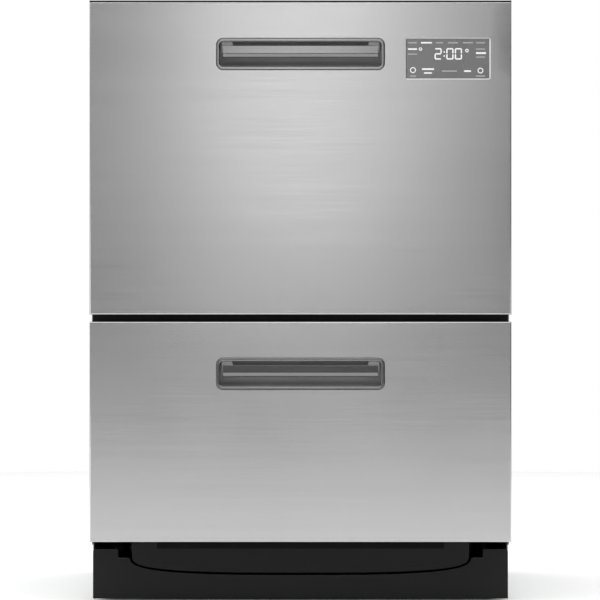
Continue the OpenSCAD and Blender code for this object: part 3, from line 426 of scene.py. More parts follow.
def sink_round(bm, face, radius, outwards, steps=4, into=BACK):
    """Sinks a face along a quarter round: over an edge if outwards, or into a corner if not."""
    for i in range(steps):
        a, b = [pi / 2 * (i + k) / steps for k in (0, 1)]
        across, down = sin(b) - sin(a), cos(a) - cos(b)
        if not outwards:
            across, down = down, across
        face = sink(bm, face, radius * across, radius * down, into)
    return face


# %% [markdown]
# ## The door skins
#
# Each front is one sheet of steel, 1 mm thick, folded back round four edges with a radius of 2 mm. A box
# with those four edges bevelled and its back left off has that shape. The windows for the handle and
# the display are cut with four planes each. Solidify gives the sheet its thickness inwards, so that
# its cut edges show.

# %% Door skins
FOLD = 2 * MM
SHEET = 1 * MM
RIM = 5 * MM
PROUD = 1 * MM
GLASS_LIP = 3 * MM


def cut_across(bm, facing, normal, places):
    """Cuts the faces that look in one direction, along planes with that normal at those places."""
    for place in places:
        faces = [face for face in bm.faces if face.normal.dot(facing) > 0.99]
        geometry = faces + edges_of(faces) + verts_of(faces)
        bmesh.ops.bisect_plane(bm, geom=geometry, plane_co=normal * place, plane_no=normal)
        bm.normal_update()


def opening_in(bm, low, high):
    """Cuts a rectangular hole through the front faces."""
    cut_across(bm, OUT, ACROSS, (low.x, high.x))
    cut_across(bm, OUT, UP, (low.z, high.z))
    front = [face for face in bm.faces if face.normal.y < -0.99]
    inside = [f for f in front if low.x < f.calc_center_median().x < high.x
              and low.z < f.calc_center_median().z < high.z]
    bmesh.ops.delete(bm, geom=inside, context="FACES")


def door_skin(drawer):
    low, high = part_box(drawer + "_door_skin")
    bm = bmesh.new()
    faces = block(bm, low, high)
    back = [face for face in faces if face.normal.y > 0.9]
    bmesh.ops.delete(bm, geom=back, context="FACES_ONLY")
    front_edges = [e for e in bm.edges if all(abs(v.co.y - low.y) < 1e-6 for v in e.verts)]
    soften(bm, front_edges, FOLD, 5)
    inset = Vector((RIM - SHEET, 0, RIM - SHEET))
    holes = [drawer + "_handle_bezel"] + (["display_window"] if drawer == "upper" else [])
    for name in holes:
        hole_low, hole_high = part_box(name)
        margin = inset if "bezel" in name else Vector((GLASS_LIP, 0, GLASS_LIP))
        opening_in(bm, hole_low + margin, hole_high - margin)
    skin = seat(drawer + "_front_sheet", bm, door_steel, drawer + "_drawer", [drawer + "_door_skin"])
    thicken(skin, SHEET)
    return skin


for drawer in DRAWERS:
    door_skin(drawer)

# %% [markdown]
# ## The handle bezels
#
# The rim and the finger pocket are one pressing, made here as two sheets so that each has its own
# finish: the rim is polished, and the pocket is painted grey. The rim starts as a rectangle with round
# corners, and every further line of it is the same outline moved inwards: up over a soft outer edge,
# flat along the rim and round into the pocket. The pocket goes on from there, down its wall and onto
# its floor. `inset_region` moves the outlines, so the corners stay true.
#
# At the floor's lower edge the real pressing sweeps up in a wide curve that clears fingertips. An edge
# spun through a quarter turn makes it. A thin ring in the black seal rubber finish round the rim is
# painted shadow: it stands for the dark line that the rim's edge casts on the front.

# %% Handle bezels
CORNER = 10 * MM
SCOOP = 9 * MM
POCKET = 22 * MM
RIM_ROUND = 1.4 * MM
POCKET_ROUND = 1.5 * MM
# The width of the ring of painted shadow round the rim. The rim itself is inset by it.
SHADOW_RING = 1 * MM


def handle_rim(drawer):
    low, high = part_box(drawer + "_handle_bezel")
    skin_y = low.y + PROUD
    bm = bmesh.new()
    face = plate_face(bm, (low.x + SHADOW_RING, skin_y, low.z + SHADOW_RING),
                      (high.x - SHADOW_RING, skin_y, high.z - SHADOW_RING), CORNER - SHADOW_RING)
    face = sink_round(bm, face, PROUD, False, into=OUT)
    face = sink(bm, face, RIM - SHADOW_RING - PROUD - RIM_ROUND, 0)
    face = sink_round(bm, face, RIM_ROUND, True)
    bmesh.ops.delete(bm, geom=[face], context="FACES_ONLY")
    return seat(drawer + "_handle_rim", bm, bezel_steel, drawer + "_drawer", [drawer + "_handle_bezel"])


def handle_pocket(drawer):
    low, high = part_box(drawer + "_handle_bezel")
    floor_y = low.y + PROUD + POCKET - SHEET
    bm = bmesh.new()
    face = plate_face(bm, (low.x + RIM, low.y + PROUD, low.z + RIM),
                      (high.x - RIM, low.y + PROUD, high.z - RIM), CORNER - RIM)
    face = sink(bm, face, 0, floor_y - low.y - PROUD - POCKET_ROUND)
    sink_round(bm, face, POCKET_ROUND, False)
    sweep(bm, low.x + RIM + 2 * MM, high.x - RIM - 2 * MM, floor_y, low.z + RIM)
    return seat(drawer + "_handle_pocket", bm, pocket_paint, drawer + "_drawer",
                [drawer + "_handle_bezel"])


def sweep(bm, x0, x1, floor_y, bottom_z):
    """The wide curve from the pocket's bottom wall up to its floor."""
    centre = Vector((0, floor_y - SCOOP, bottom_z + SCOOP))
    ends = [bm.verts.new((x, centre.y, bottom_z + 0.1 * MM)) for x in (x0, x1)]
    edge = bm.edges.new(ends)
    bmesh.ops.spin(bm, geom=[edge], cent=centre, axis=(1, 0, 0), angle=pi / 2, steps=8)


# Painted shadow: a thin ring in the black seal rubber finish round the rim stands for the shadow line
# that the rim's edge casts on the front.
def rim_painted_shadow(drawer):
    low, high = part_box(drawer + "_handle_bezel")
    skin_y = low.y + PROUD
    bm = bmesh.new()
    face = plate_face(bm, (low.x, skin_y, low.z), (high.x, skin_y, high.z), CORNER)
    face = sink_round(bm, face, SHADOW_RING / 2, False, into=OUT)
    face = sink(bm, face, SHADOW_RING, 0)
    bmesh.ops.delete(bm, geom=[face], context="FACES_ONLY")
    return seat(drawer + "_handle_gasket", bm, seal_rubber, drawer + "_drawer")


for drawer in DRAWERS:
    handle_rim(drawer)
    handle_pocket(drawer)
    rim_painted_shadow(drawer)

# %% [markdown]
# ## The grips
#
# The grip is a strip of sheet: flat in front, and rolled back along its lower edge, so that fingers
# close round it. Its section is drawn by two operators. One pulls a point down to make the flat front,
# and `spin` rolls the end of that line back through 50 degrees. The line is then pulled along X, and
# Solidify gives the sheet its thickness. Slanted tabs hang it from the pocket's ceiling at both ends.

# %% Handle grips
GRIP_WALL = 2 * MM
GRIP_HEIGHT = 17 * MM
GRIP_ROLL = 9 * MM
ROLLED = radians(50)
GRIP_END = 4.5 * MM
TAB_WIDTH = 22 * MM


def grip(drawer):
    low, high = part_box(drawer + "_handle_grip")
    top_z = low.z + GRIP_HEIGHT
    roll_z = low.z + GRIP_ROLL * sin(ROLLED)
    bm = bmesh.new()
    point = bm.verts.new((low.x + GRIP_END, low.y, top_z))
    front = bmesh.ops.extrude_vert_indiv(bm, verts=[point])
    bmesh.ops.translate(bm, vec=(0, 0, roll_z - top_z), verts=front["verts"])
    centre = Vector((low.x + GRIP_END, low.y + GRIP_ROLL, roll_z))
    bmesh.ops.spin(bm, geom=front["verts"], cent=centre, axis=(1, 0, 0), angle=ROLLED, steps=8)
    grown = bmesh.ops.extrude_edge_only(bm, edges=list(bm.edges))["geom"]
    moved = [item for item in grown if isinstance(item, bmesh.types.BMVert)]
    bmesh.ops.translate(bm, vec=(high.x - low.x - 2 * GRIP_END, 0, 0), verts=moved)
    bmesh.ops.recalc_face_normals(bm, faces=bm.faces)
    widest = max(bm.faces, key=lambda face: face.calc_area())
    if widest.normal.y > 0:
        bmesh.ops.reverse_faces(bm, faces=bm.faces)
    strip = seat(drawer + "_grip", bm, grip_steel, drawer + "_drawer", [drawer + "_handle_grip"])
    thicken(strip, GRIP_WALL)
    edge = strip.modifiers.new("soft edges", "BEVEL")
    edge.width = 0.5 * MM
    edge.segments = 2
    strip.modifiers.move(2, 1)
    tabs = bmesh.new()
    for side in (-1, 1):
        tab(tabs, side, high.x, low.y + GRIP_WALL, roll_z, high.z)
    return strip, seat(drawer + "_grip_tabs", tabs, pocket_paint, drawer + "_drawer",
                       [drawer + "_handle_grip"])


def tab(bm, side, half_width, y, bottom, top):
    """A tab behind the grip, from its back to the ceiling, whose inner end leans outwards."""
    inner, outer = side * (half_width - TAB_WIDTH), side * (half_width - 3 * MM)
    faces = block(bm, (min(inner, outer), y, bottom),
                  (max(inner, outer), y + GRIP_WALL, top - 0.2 * MM))
    slanted = [v for v in verts_of(faces) if v.co.z > (bottom + top) / 2
               and abs(v.co.x - inner) < 1 * MM]
    bmesh.ops.translate(bm, vec=(side * 4 * MM, 0, 0), verts=slanted)
    soften(bm, edges_of(faces), 0.5 * MM, 2)


for drawer in DRAWERS:
    grip(drawer)

# %% [markdown]
# ## The display
#
# The pane lies a little behind the upper front, and a thin bright bevel leads down to it. Smoked glass
# over a grey light guide looks like a darker patch of the same steel, so its base is a grey with a
# clear coat.
#
# The marks are light that comes through the glass. They are plain ones: digits of seven bars, as on any
# clock, and bars, dots, rings and drops where keys are. Each bar is a rectangle whose corners are
# bevelled, so that its ends are pointed.

# %% Display glass and trim
TRIM = 1 * MM
BEVEL_DEPTH = 0.8 * MM


def glass_finish():
    glass = Finish("smoked display glass", "display_glass", {"Coat Weight": 1.0, "Coat Roughness": 0.06})
    haze = glass.place.noise(0.05, 2.0)
    glass.feed({
        "Base Color": haze.mix(grey(0.17), grey(0.2)),
        "Roughness": haze * 0.1 + 0.22,
        "Metallic": 0.35,
    })
    return glass


def lit(name, level):
    """A mark that glows softly, a little unevenly, as a light guide does."""
    mark = Finish(name, "display_glass", {"Roughness": 0.4, "Emission Strength": 1.0})
    uneven = mark.place.noise(0.004, 1.0)
    mark.feed({
        "Base Color": uneven.mix(grey(level * 0.4), grey(level * 0.5)),
        "Emission Color": uneven.mix(grey(level * 0.6), grey(level * 0.8)),
    })
    return mark


display_glass = glass_finish()
bright_mark = lit("bright display mark", 0.8)
dim_mark = lit("dim display mark", 0.34)


def display_window():
    """The pane lies a little behind the front, and a bright bevel leads down to it."""
    low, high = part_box("display_window")
    lip = Vector((GLASS_LIP, 0, GLASS_LIP))
    low, high = low + lip, Vector((high.x, low.y, high.z)) - lip
    bm = bmesh.new()
    face = plate_face(bm, low, high, 2.5 * MM, 4)
    face = sink(bm, face, TRIM, BEVEL_DEPTH)
    bmesh.ops.delete(bm, geom=[face], context="FACES_ONLY")
    trim = seat("display_trim", bm, trim_steel, "upper_drawer", ["display_window"])
    glass = bmesh.new()
    edge, behind = Vector((TRIM, 0, TRIM)), Vector((0, BEVEL_DEPTH, 0))
    plate_face(glass, low + edge + behind, high - edge + behind, 1.5 * MM, 4)
    pane = seat("display_pane", glass, display_glass, "upper_drawer", ["display_window"])
    return trim, pane


display_window()

# %% [markdown]
# ### The marks on the glass
#
# The photograph gives the places of the marks in pixels. One number turns a pixel into millimetres on
# the door: the fronts are 599 mm wide, and the camera sees 422 pixels of them. The list below keeps each
# mark as its kind and its box, in pixels, because that is how it was measured.

# %% Display marks
PIXEL = 1.4194 * MM
MIDDLE_COLUMN = 300.5
TOP_ROW = 1.8
upper_low, upper_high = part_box("upper_door_skin")
MARK_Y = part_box("display_window")[0].y + BEVEL_DEPTH - 0.05 * MM


def on_door(column, row):
    """The place on the upper front that a pixel shows."""
    return Vector(((column - MIDDLE_COLUMN) * PIXEL, MARK_Y, upper_high.z - (row - TOP_ROW) * PIXEL))


def bar(bm, left, top, right, bottom, pointed=False):
    a, b = on_door(left, bottom), on_door(right, top)
    size = min(b.x - a.x, b.z - a.z)
    plate_face(bm, a, b, size * (0.48 if pointed else 0.2), 1 if pointed else 2)


def ring(bm, column, row, radius):
    place = Matrix.Translation(on_door(column, row)) @ Matrix.Rotation(pi / 2, 4, "X")
    made = bmesh.ops.create_circle(bm, cap_ends=True, radius=radius * PIXEL, segments=16, matrix=place)
    face = made["verts"][0].link_faces[0]
    bmesh.ops.inset_region(bm, faces=[face], thickness=0.9 * PIXEL, use_boundary=True)
    bmesh.ops.delete(bm, geom=[face], context="FACES_ONLY")


SEGMENTS = {"2": "abged", "0": "abcdef"}


def digit(bm, character, left, top, right, bottom):
    """One digit of seven pointed bars, a at the top and on clockwise, with g in the middle."""
    middle = (top + bottom) / 2
    w = 1.35
    bars = {
        "a": (left + 0.5, top, right - 0.5, top + w),
        "d": (left + 0.5, bottom - w, right - 0.5, bottom),
        "g": (left + 0.5, middle - w / 2, right - 0.5, middle + w / 2),
        "b": (right - w, top + 0.5, right, middle - 0.2),
        "c": (right - w, middle + 0.2, right, bottom - 0.5),
        "e": (left, middle + 0.2, left + w, bottom - 0.5),
        "f": (left, top + 0.5, left + w, middle - 0.2),
    }
    for name in SEGMENTS[character]:
        bar(bm, *bars[name], pointed=True)


BRIGHT_BARS = [
    (421, 41.9, 432, 43.4), (408, 48.2, 417, 49.8), (476, 52.1, 486, 53.9), (422, 68.2, 434, 69.8),
    (424, 72.2, 432, 73.6), (464, 70.2, 471, 71.8), (443.6, 51.2, 445, 52.6), (443.6, 55.2, 445, 56.6),
]
DIM_BARS = [
    (408, 42, 417, 43.3), (436, 42, 443, 43.3), (448, 42, 458, 43.3), (463, 42, 473, 43.3),
    (476, 42, 485, 43.3), (408, 53.4, 417, 54.6), (476, 48.4, 485, 49.6), (476, 56.4, 485, 57.6),
    (410, 75.4, 416, 76.6), (442, 70.4, 457, 71.6), (476, 75.4, 485, 76.6),
]
RINGS = [(420.5, 49.0, 1.7), (413, 70, 3.0), (480.5, 70.5, 2.9), (467, 50.5, 1.8)]

bright, dim = bmesh.new(), bmesh.new()
for box_in_pixels in BRIGHT_BARS:
    bar(bright, *box_in_pixels)
for box_in_pixels in DIM_BARS:
    bar(dim, *box_in_pixels)
for character, left in (("2", 434.5), ("0", 446.3), ("0", 454.8)):
    digit(bright, character, left, 48, left + 7.3, 59.5)
for column, row, radius in RINGS:
    ring(bright, column, row, radius)
seat("display_marks_bright", bright, bright_mark, "upper_drawer")
seat("display_marks_dim", dim, dim_mark, "upper_drawer")

# %% [markdown]
# ## Tubs
#
# Each drawer is a deep moulded tub. The same steps that made the bezel make it, laid flat: up over the
# rim, across it, down the wall and round onto the floor. Its faces look into the tub, so Solidify puts
# the wall's thickness on the outside. Two ledges carry the rack.

# %% Tubs
def tub(drawer):
    low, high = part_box(drawer + "_tub")
    rim_width, rim_height, wall, edge = 7 * MM, 5 * MM, 3 * MM, 1.5 * MM
    corner, cove = 31 * MM, 14 * MM
    rim_z, floor_z = high.z - rim_height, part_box(drawer + "_filter_plate")[0].z
    bm = bmesh.new()
    face = plate_face(bm, (low.x, low.y, rim_z), (high.x, high.y, rim_z), corner, 8, DOWN)
    face = sink(bm, face, 0, -(rim_height - edge), DOWN)
    face = sink_round(bm, face, edge, True, 3, UP)
    face = sink(bm, face, rim_width + wall - 2 * edge, 0, DOWN)
    face = sink_round(bm, face, edge, True, 3, DOWN)
    face = sink(bm, face, 0, high.z - floor_z - cove - edge, DOWN)
    face = sink_round(bm, face, cove, False, 6, DOWN)
    sink(bm, face, 120 * MM, 1.0 * MM, DOWN)
    shell = seat(drawer + "_wash_tub", bm, tub_moulding, drawer + "_drawer", [drawer + "_tub"])
    thicken(shell, wall - 0.2 * MM)
    ledges = bmesh.new()
    ledge_x = high.x - rim_width - wall
    ledge_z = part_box(drawer + "_rack")[0].z
    for side in (-1, 1):
        inner, outer = sorted((side * (ledge_x - 18 * MM), side * (ledge_x + 1 * MM)))
        soft_block(ledges, (inner, low.y + 60 * MM, ledge_z - 4 * MM),
                   (outer, high.y - 30 * MM, ledge_z), 1.2 * MM)
    seat(drawer + "_rack_ledges", ledges, tub_moulding, drawer + "_drawer")


for drawer in DRAWERS:
    tub(drawer)

# %% [markdown]
# ## Wire
#
# Racks are bent from steel wire, welded and dipped in nylon. A wire with bends is a circle that is
# pushed along each straight and spun round each bend. The spin needs the bend's centre, which lies
# beside the wire, towards the next straight, one bend radius away.
#
# Straight rods and tines need no bends. A tine's tip is rounded, as the dip leaves it.

# %% Wire helpers
def rod(bm, start, end, thickness, sides=8):
    """A straight round rod with closed ends, and its corner points."""
    start, end = Vector(start), Vector(end)
    along = end - start
    place = Matrix.Translation((start + end) / 2) @ along.to_track_quat("Z", "Y").to_matrix().to_4x4()
    return bmesh.ops.create_cone(bm, cap_ends=True, segments=sides, radius1=thickness / 2,
                                 radius2=thickness / 2, depth=along.length, matrix=place)["verts"]


def bent_rod(bm, corners, thickness, bend, sides=8, steps=4):
    """A round rod along those corners, with the same bend at each."""
    path = [Vector(corner) for corner in corners]
    heading = (path[1] - path[0]).normalized()
    place = Matrix.Translation(path[0]) @ heading.to_track_quat("Z", "Y").to_matrix().to_4x4()
    made = bmesh.ops.create_circle(bm, cap_ends=True, radius=thickness / 2, segments=sides, matrix=place)
    face = made["verts"][0].link_faces[0]
    spot = path[0]
    for here, after in zip(path[1:], path[2:] + [None]):
        heading = (here - spot).normalized()
        turn = heading.angle(after - here) if after else 0
        trim = bend * tan(turn / 2)
        face = pushed(bm, face, heading * ((here - spot).length - trim))
        if turn:
            onward = (after - here).normalized()
            axis = heading.cross(onward).normalized()
            centre = here - heading * trim + axis.cross(heading) * bend
            spun = bmesh.ops.spin(bm, geom=[face], cent=centre, axis=axis, angle=turn, steps=steps)
            face = next(item for item in spun["geom_last"] if isinstance(item, bmesh.types.BMFace))
            spot = here + onward * trim


def edges_between(verts):
    """The edges that have both ends among those corner points."""
    return list({edge for vert in verts for edge in vert.link_edges if edge.other_vert(vert) in verts})


def tine(bm, foot, height, thickness):
    """An upright rod with a rounded tip."""
    foot = Vector(foot)
    verts = rod(bm, foot, foot + Vector((0, 0, height)), thickness)
    top = [v for v in verts if v.co.z > foot.z + height / 2]
    soften(bm, edges_between(top), thickness * 0.32, 2)


def hoop(bm, low, high, z, thickness, bend):
    """A level wire round a rectangle, closed in the middle of its front."""
    corners = [(0, low.y, z), (high.x, low.y, z), (high.x, high.y, z), (low.x, high.y, z),
               (low.x, low.y, z), (0, low.y, z)]
    bent_rod(bm, corners, thickness, bend)


def spread(start, end, pitch):
    """Places from start to end, as near to that pitch as whole steps allow."""
    count = max(1, round((end - start) / pitch))
    return [start + (end - start) * i / count for i in range(count + 1)]


print("wires across a rack:", len(spread(-0.2655, 0.2655, 0.046)))

# %% [markdown]
# ## Racks
#
# The wires of a rack are long U shapes, each bent up at both ends to the top hoop. Those that run from
# side to side lie under those that run from front to back, so the two layers touch and can be welded.
# One row of tines is fixed. The other turns in two clips, to make room for a pan.

# %% Racks
GRID_WIRE = 3.6 * MM
HOOP_WIRE = 5 * MM
GRID_PITCH = 46 * MM
TINE_PITCH = 30 * MM
TINE = 72 * MM


def rack_lines(drawer):
    """The planes that a rack's wires lie in, from the solid's own box."""
    low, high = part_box(drawer + "_rack")
    low = low + Vector((HOOP_WIRE / 2, HOOP_WIRE / 2, GRID_WIRE / 2))
    high = high - Vector((HOOP_WIRE / 2, HOOP_WIRE / 2, HOOP_WIRE / 2))
    fold_y = sum(c.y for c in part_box(drawer + "_fold_tines")) / 2
    return low, high, fold_y


def wire_rack(drawer):
    low, high, fold_y = rack_lines(drawer)
    fixed_y = low.y + 75 * MM
    upper_layer = low.z + GRID_WIRE - 0.5 * MM
    bm = bmesh.new()
    in_front = spread(low.y, fixed_y, GRID_PITCH)[1:]
    behind = spread(fixed_y + GRID_PITCH, high.y, GRID_PITCH)[:-1]
    for y in in_front + behind:
        bent_rod(bm, [(low.x, y, high.z), (low.x, y, low.z), (high.x, y, low.z), (high.x, y, high.z)],
                 GRID_WIRE, 9 * MM)
    for x in spread(low.x, high.x, GRID_PITCH)[1:-1]:
        bent_rod(bm, [(x, low.y, high.z), (x, low.y, upper_layer), (x, high.y, upper_layer),
                      (x, high.y, high.z)], GRID_WIRE, 9 * MM)
    for z in (high.z, (low.z + high.z) / 2):
        hoop(bm, low, high, z, HOOP_WIRE, 22 * MM)
    hoop(bm, low, high, low.z, GRID_WIRE, 22 * MM)
    span = [c.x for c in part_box(drawer + "_fold_tines")]
    for x in spread(span[0] + 15 * MM, span[1] - 15 * MM, TINE_PITCH):
        tine(bm, (x, fixed_y, low.z - 1 * MM), TINE + 13 * MM, GRID_WIRE)
    for x in (span[0] + 6 * MM, span[1] - 6 * MM):
        rod(bm, (x, fold_y - GRID_PITCH, upper_layer), (x, fold_y + GRID_PITCH, upper_layer),
            GRID_WIRE)
    return seat(drawer + "_wire_rack", bm, coated_wire, drawer + "_drawer", [drawer + "_rack"])


def clips(drawer):
    """The moulded clips that the folding parts turn in."""
    low, high, fold_y = rack_lines(drawer)
    bm = bmesh.new()
    span = [c.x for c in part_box(drawer + "_fold_tines")]
    axle_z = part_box(drawer + "_fold_tines")[0].z + 2 * MM
    for x in (span[0] + 6 * MM, span[1] - 6 * MM):
        soft_block(bm, (x - 4 * MM, fold_y - 6 * MM, low.z),
                   (x + 4 * MM, fold_y + 6 * MM, axle_z + 5 * MM), 1.6 * MM)
    if drawer == "upper":
        shelf_low, shelf_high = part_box("cup_rack")
        z = (shelf_low.z + shelf_high.z) / 2
        for y in (low.y + 45 * MM, (low.y + high.y) / 2, high.y - 45 * MM):
            soft_block(bm, (low.x - 2 * MM, y - 4 * MM, z - 10 * MM),
                       (shelf_low.x + 7 * MM, y + 4 * MM, z + 5 * MM), 1.4 * MM)
    return seat(drawer + "_rack_clips", bm, grey_moulding, drawer + "_drawer")


def fold_row(drawer):
    low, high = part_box(drawer + "_fold_tines")
    y, z = (low.y + high.y) / 2, low.z + 2 * MM
    bm = bmesh.new()
    rod(bm, (low.x, y, z), (high.x, y, z), 4 * MM, 12)
    for x in spread(low.x + 19 * MM, high.x - 19 * MM, TINE_PITCH):
        tine(bm, (x, y, z), TINE, GRID_WIRE)
    return seat(drawer + "_tine_row", bm, coated_wire, drawer + "_fold_tines", [drawer + "_fold_tines"])


for drawer in DRAWERS:
    wire_rack(drawer)
    clips(drawer)
    fold_row(drawer)

# %% [markdown]
# ## Cup shelf
#
# The shelf folds up against the left wall of the upper rack. One wire, bent round three sides, is its
# edge, and thin wires cross it to carry the cups.

# %% Cup shelf
def cup_shelf():
    low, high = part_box("cup_rack")
    z = (low.z + high.z) / 2
    x0, x1 = low.x + 2 * MM, high.x - 2 * MM
    y0, y1 = low.y + 2 * MM, high.y - 2 * MM
    bm = bmesh.new()
    rod(bm, (x0, low.y, z), (x0, high.y, z), 4 * MM, 12)
    bent_rod(bm, [(x0, y0, z), (x1, y0, z), (x1, y1, z), (x0, y1, z)], 4 * MM, 16 * MM, 10)
    rod(bm, ((x0 + x1) / 2, y0, z), ((x0 + x1) / 2, y1, z), 3 * MM)
    for y in spread(y0 + 26 * MM, y1 - 26 * MM, 27 * MM):
        rod(bm, (x0, y, z), (x1, y, z), 3 * MM)
    return seat("cup_shelf", bm, coated_wire, "cup_rack", ["cup_rack"])


cup_shelf()

# %% [markdown]
# ## Spray arms
#
# A spray arm is a hollow moulding that water turns. It is widest at its hub and has a pillow-like top.
# A long block, cut across in two places and tapered towards its ends, has that shape once its edges are
# bevelled. The jets are small raised lips.

# %% Spray arms
def spray_arm(drawer):
    low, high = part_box(drawer + "_spray_arm")
    centre = Vector(((low.x + high.x) / 2, (low.y + high.y) / 2, 0))
    reach, root, tip, height = (high.x - low.x) / 2, 19 * MM, 12 * MM, 10 * MM
    bm = bmesh.new()
    block(bm, (-reach, -root, 0), (reach, root, height))
    for x in (-24 * MM, 24 * MM):
        geometry = bm.faces[:] + bm.edges[:] + bm.verts[:]
        bmesh.ops.bisect_plane(bm, geom=geometry, plane_co=(x, 0, 0), plane_no=(1, 0, 0))
    ends = [v for v in bm.verts if abs(v.co.x) > reach - 1 * MM]
    bmesh.ops.scale(bm, vec=(1, tip / root, 0.8), verts=ends)
    upright = [e for e in bm.edges if abs(e.verts[0].co.z - e.verts[1].co.z) > 1 * MM
               and abs(e.verts[0].co.x) > reach - 1 * MM]
    soften(bm, upright, tip * 0.92, 6)
    top_edges = [e for e in bm.edges if len(e.link_faces) == 2 and e.calc_face_angle(0) > 0.9
                 and min(v.co.z for v in e.verts) > height * 0.7]
    soften(bm, top_edges, 3.5 * MM, 4)
    hub = bmesh.ops.create_cone(bm, cap_ends=True, segments=40, radius1=24 * MM, radius2=24 * MM,
                                depth=height + 2 * MM,
                                matrix=Matrix.Translation((0, 0, height / 2 + 1 * MM)))
    hub_top = [v for v in hub["verts"] if v.co.z > height]
    soften(bm, edges_between(hub_top), 2.5 * MM, 4)
    for side in (-1, 1):
        for i in range(1, 7):
            x = side * max(i * (reach - tip) / 6.5, 30 * MM)
            jet(bm, x, side * (4 if i % 2 == 0 else -4) * MM, height)
    bmesh.ops.translate(bm, vec=centre + Vector((0, 0, low.z)), verts=bm.verts)
    return seat(drawer + "_wash_arm", bm, grey_moulding, drawer + "_spray_arm", [drawer + "_spray_arm"])


def jet(bm, x, y, height):
    place = Matrix.Translation((x, y, height - 0.4 * MM)) @ Matrix.Rotation(0.5, 4, "Z")
    made = bmesh.ops.create_cone(bm, cap_ends=True, segments=12, radius1=4 * MM, radius2=2.6 * MM,
                                 depth=2.4 * MM, matrix=place @ Matrix.Diagonal((1.5, 0.8, 1, 1)))
    top = max(faces_at(made["verts"]), key=lambda face: face.calc_center_median().z)
    bmesh.ops.inset_region(bm, faces=[top], thickness=0.8 * MM, use_even_offset=True)
    bmesh.ops.translate(bm, vec=(0, 0, -1.6 * MM), verts=top.verts)


for drawer in DRAWERS:
    spray_arm(drawer)

# %% [markdown]
# ## Detergent dispensers
#
# The dispenser hangs on the tub's front wall: a box with a cup for powder under a flap, and a round cap
# over the rinse aid. The cup is cut into the top face and pushed down. The cap is a turned shape with a
# finger bar across it.

# %% Dispensers
def lathe(bm, profile, centre, axis="z", segments=40):
    """Spins a profile of (radius, height) points about the Z or the Y axis through centre."""
    turn = Matrix.Rotation(-pi / 2 if axis == "y" else 0, 4, "X")
    before = set(bm.verts)
    verts = [bm.verts.new((radius, 0, height)) for radius, height in profile]
    edges = [bm.edges.new(pair) for pair in zip(verts, verts[1:])]
    bmesh.ops.spin(bm, geom=verts + edges, cent=(0, 0, 0), axis=(0, 0, 1), angle=2 * pi, steps=segments,
                   use_merge=True)
    made = [v for v in bm.verts if v not in before]
    bmesh.ops.remove_doubles(bm, verts=made, dist=1e-6)
    made = [v for v in bm.verts if v not in before]
    bmesh.ops.transform(bm, matrix=Matrix.Translation(centre) @ turn, verts=made)
    bmesh.ops.recalc_face_normals(bm, faces=faces_at(made))


def dispenser(drawer):
    low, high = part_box(drawer + "_dispenser")
    flap_low, flap_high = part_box(drawer + "_dispenser_flap")
    top = flap_low.z - 0.5 * MM
    bm = bmesh.new()
    faces = block(bm, low, (high.x, high.y, top))
    soften(bm, [edge for edge in edges_of(faces) if all(
        v.co.y > high.y - 1 * MM or v.co.z < low.z + 1 * MM for v in edge.verts)], 4 * MM, 4)
    cup_low = Vector((flap_low.x + 6 * MM, low.y + 8.5 * MM, top))
    cup_high = Vector((flap_high.x - 6 * MM, high.y - 4.5 * MM, top))
    cut_across(bm, UP, ACROSS, (cup_low.x, cup_high.x))
    cut_across(bm, UP, BACK, (cup_low.y, cup_high.y))
    middle = (cup_low + cup_high) / 2
    tops = [face for face in bm.faces if face.normal.z > 0.99]
    cup = min(tops, key=lambda face: (face.calc_center_median() - middle).length)
    cup = sink_round(bm, cup, 1.2 * MM, True, 3, DOWN)
    cup = sink(bm, cup, 0, 38 * MM, DOWN)
    sink_round(bm, cup, 5 * MM, False, 4, DOWN)
    for x in (flap_low.x + 4 * MM, flap_high.x - 10 * MM):
        soft_block(bm, (x, low.y + 1.5 * MM, top - 1 * MM),
                   (x + 6 * MM, low.y + 7.5 * MM, top + 6.5 * MM), 1.5 * MM)
    return seat(drawer + "_dispenser_box", bm, pale_moulding, drawer + "_drawer",
                [drawer + "_dispenser"])


def flap(drawer):
    low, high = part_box(drawer + "_dispenser_flap")
    pin_y, pin_z = low.y + 3 * MM, high.z - 3 * MM
    bm = bmesh.new()
    soft_block(bm, (low.x, low.y + 6 * MM, low.z), (high.x, high.y, low.z + 3 * MM), 1.2 * MM)
    soft_block(bm, (low.x + 11 * MM, low.y + 2 * MM, low.z + 0.3 * MM),
               (high.x - 11 * MM, low.y + 8 * MM, low.z + 2.8 * MM), 0.8 * MM, 2)
    rod(bm, (low.x, pin_y, pin_z), (high.x, pin_y, pin_z), 5.6 * MM, 20)
    soft_block(bm, (low.x + 36 * MM, high.y - 7 * MM, low.z + 2.5 * MM),
               (high.x - 36 * MM, high.y - 3 * MM, low.z + 3.4 * MM), 0.4 * MM, 2)
    return seat(drawer + "_powder_flap", bm, grey_moulding, drawer + "_dispenser_flap",
                [drawer + "_dispenser_flap"])


def rinse_cap(drawer):
    low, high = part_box(drawer + "_rinse_cap")
    centre = Vector(((low.x + high.x) / 2, (low.y + high.y) / 2, high.z - 10 * MM))
    radius = (high.x - low.x) / 2
    bm = bmesh.new()
    lathe(bm, [(radius - 3.5 * MM, -12 * MM), (radius - 3.5 * MM, 0), (radius, 0), (radius, 3.4 * MM),
               (radius - 0.6 * MM, 4.4 * MM), (radius - 1.6 * MM, 5 * MM), (radius - 3 * MM, 4.2 * MM),
               (0, 4.2 * MM)], centre)
    soft_block(bm, centre + Vector((-radius + 2 * MM, -1.8 * MM, 3.8 * MM)),
               centre + Vector((radius - 2 * MM, 1.8 * MM, 9.8 * MM)), 1.3 * MM)
    return seat(drawer + "_rinse_aid_cap", bm, grey_moulding, drawer + "_drawer",
                [drawer + "_rinse_cap"])


for drawer in DRAWERS:
    dispenser(drawer)
    flap(drawer)
    rinse_cap(drawer)

# %% [markdown]
# ## Feet
#
# Each foot is a threaded stem with a wide sole. The stem's thread is a row of ridges. A real thread
# climbs, but at this size rings look the same from every side, and a lathe makes them.

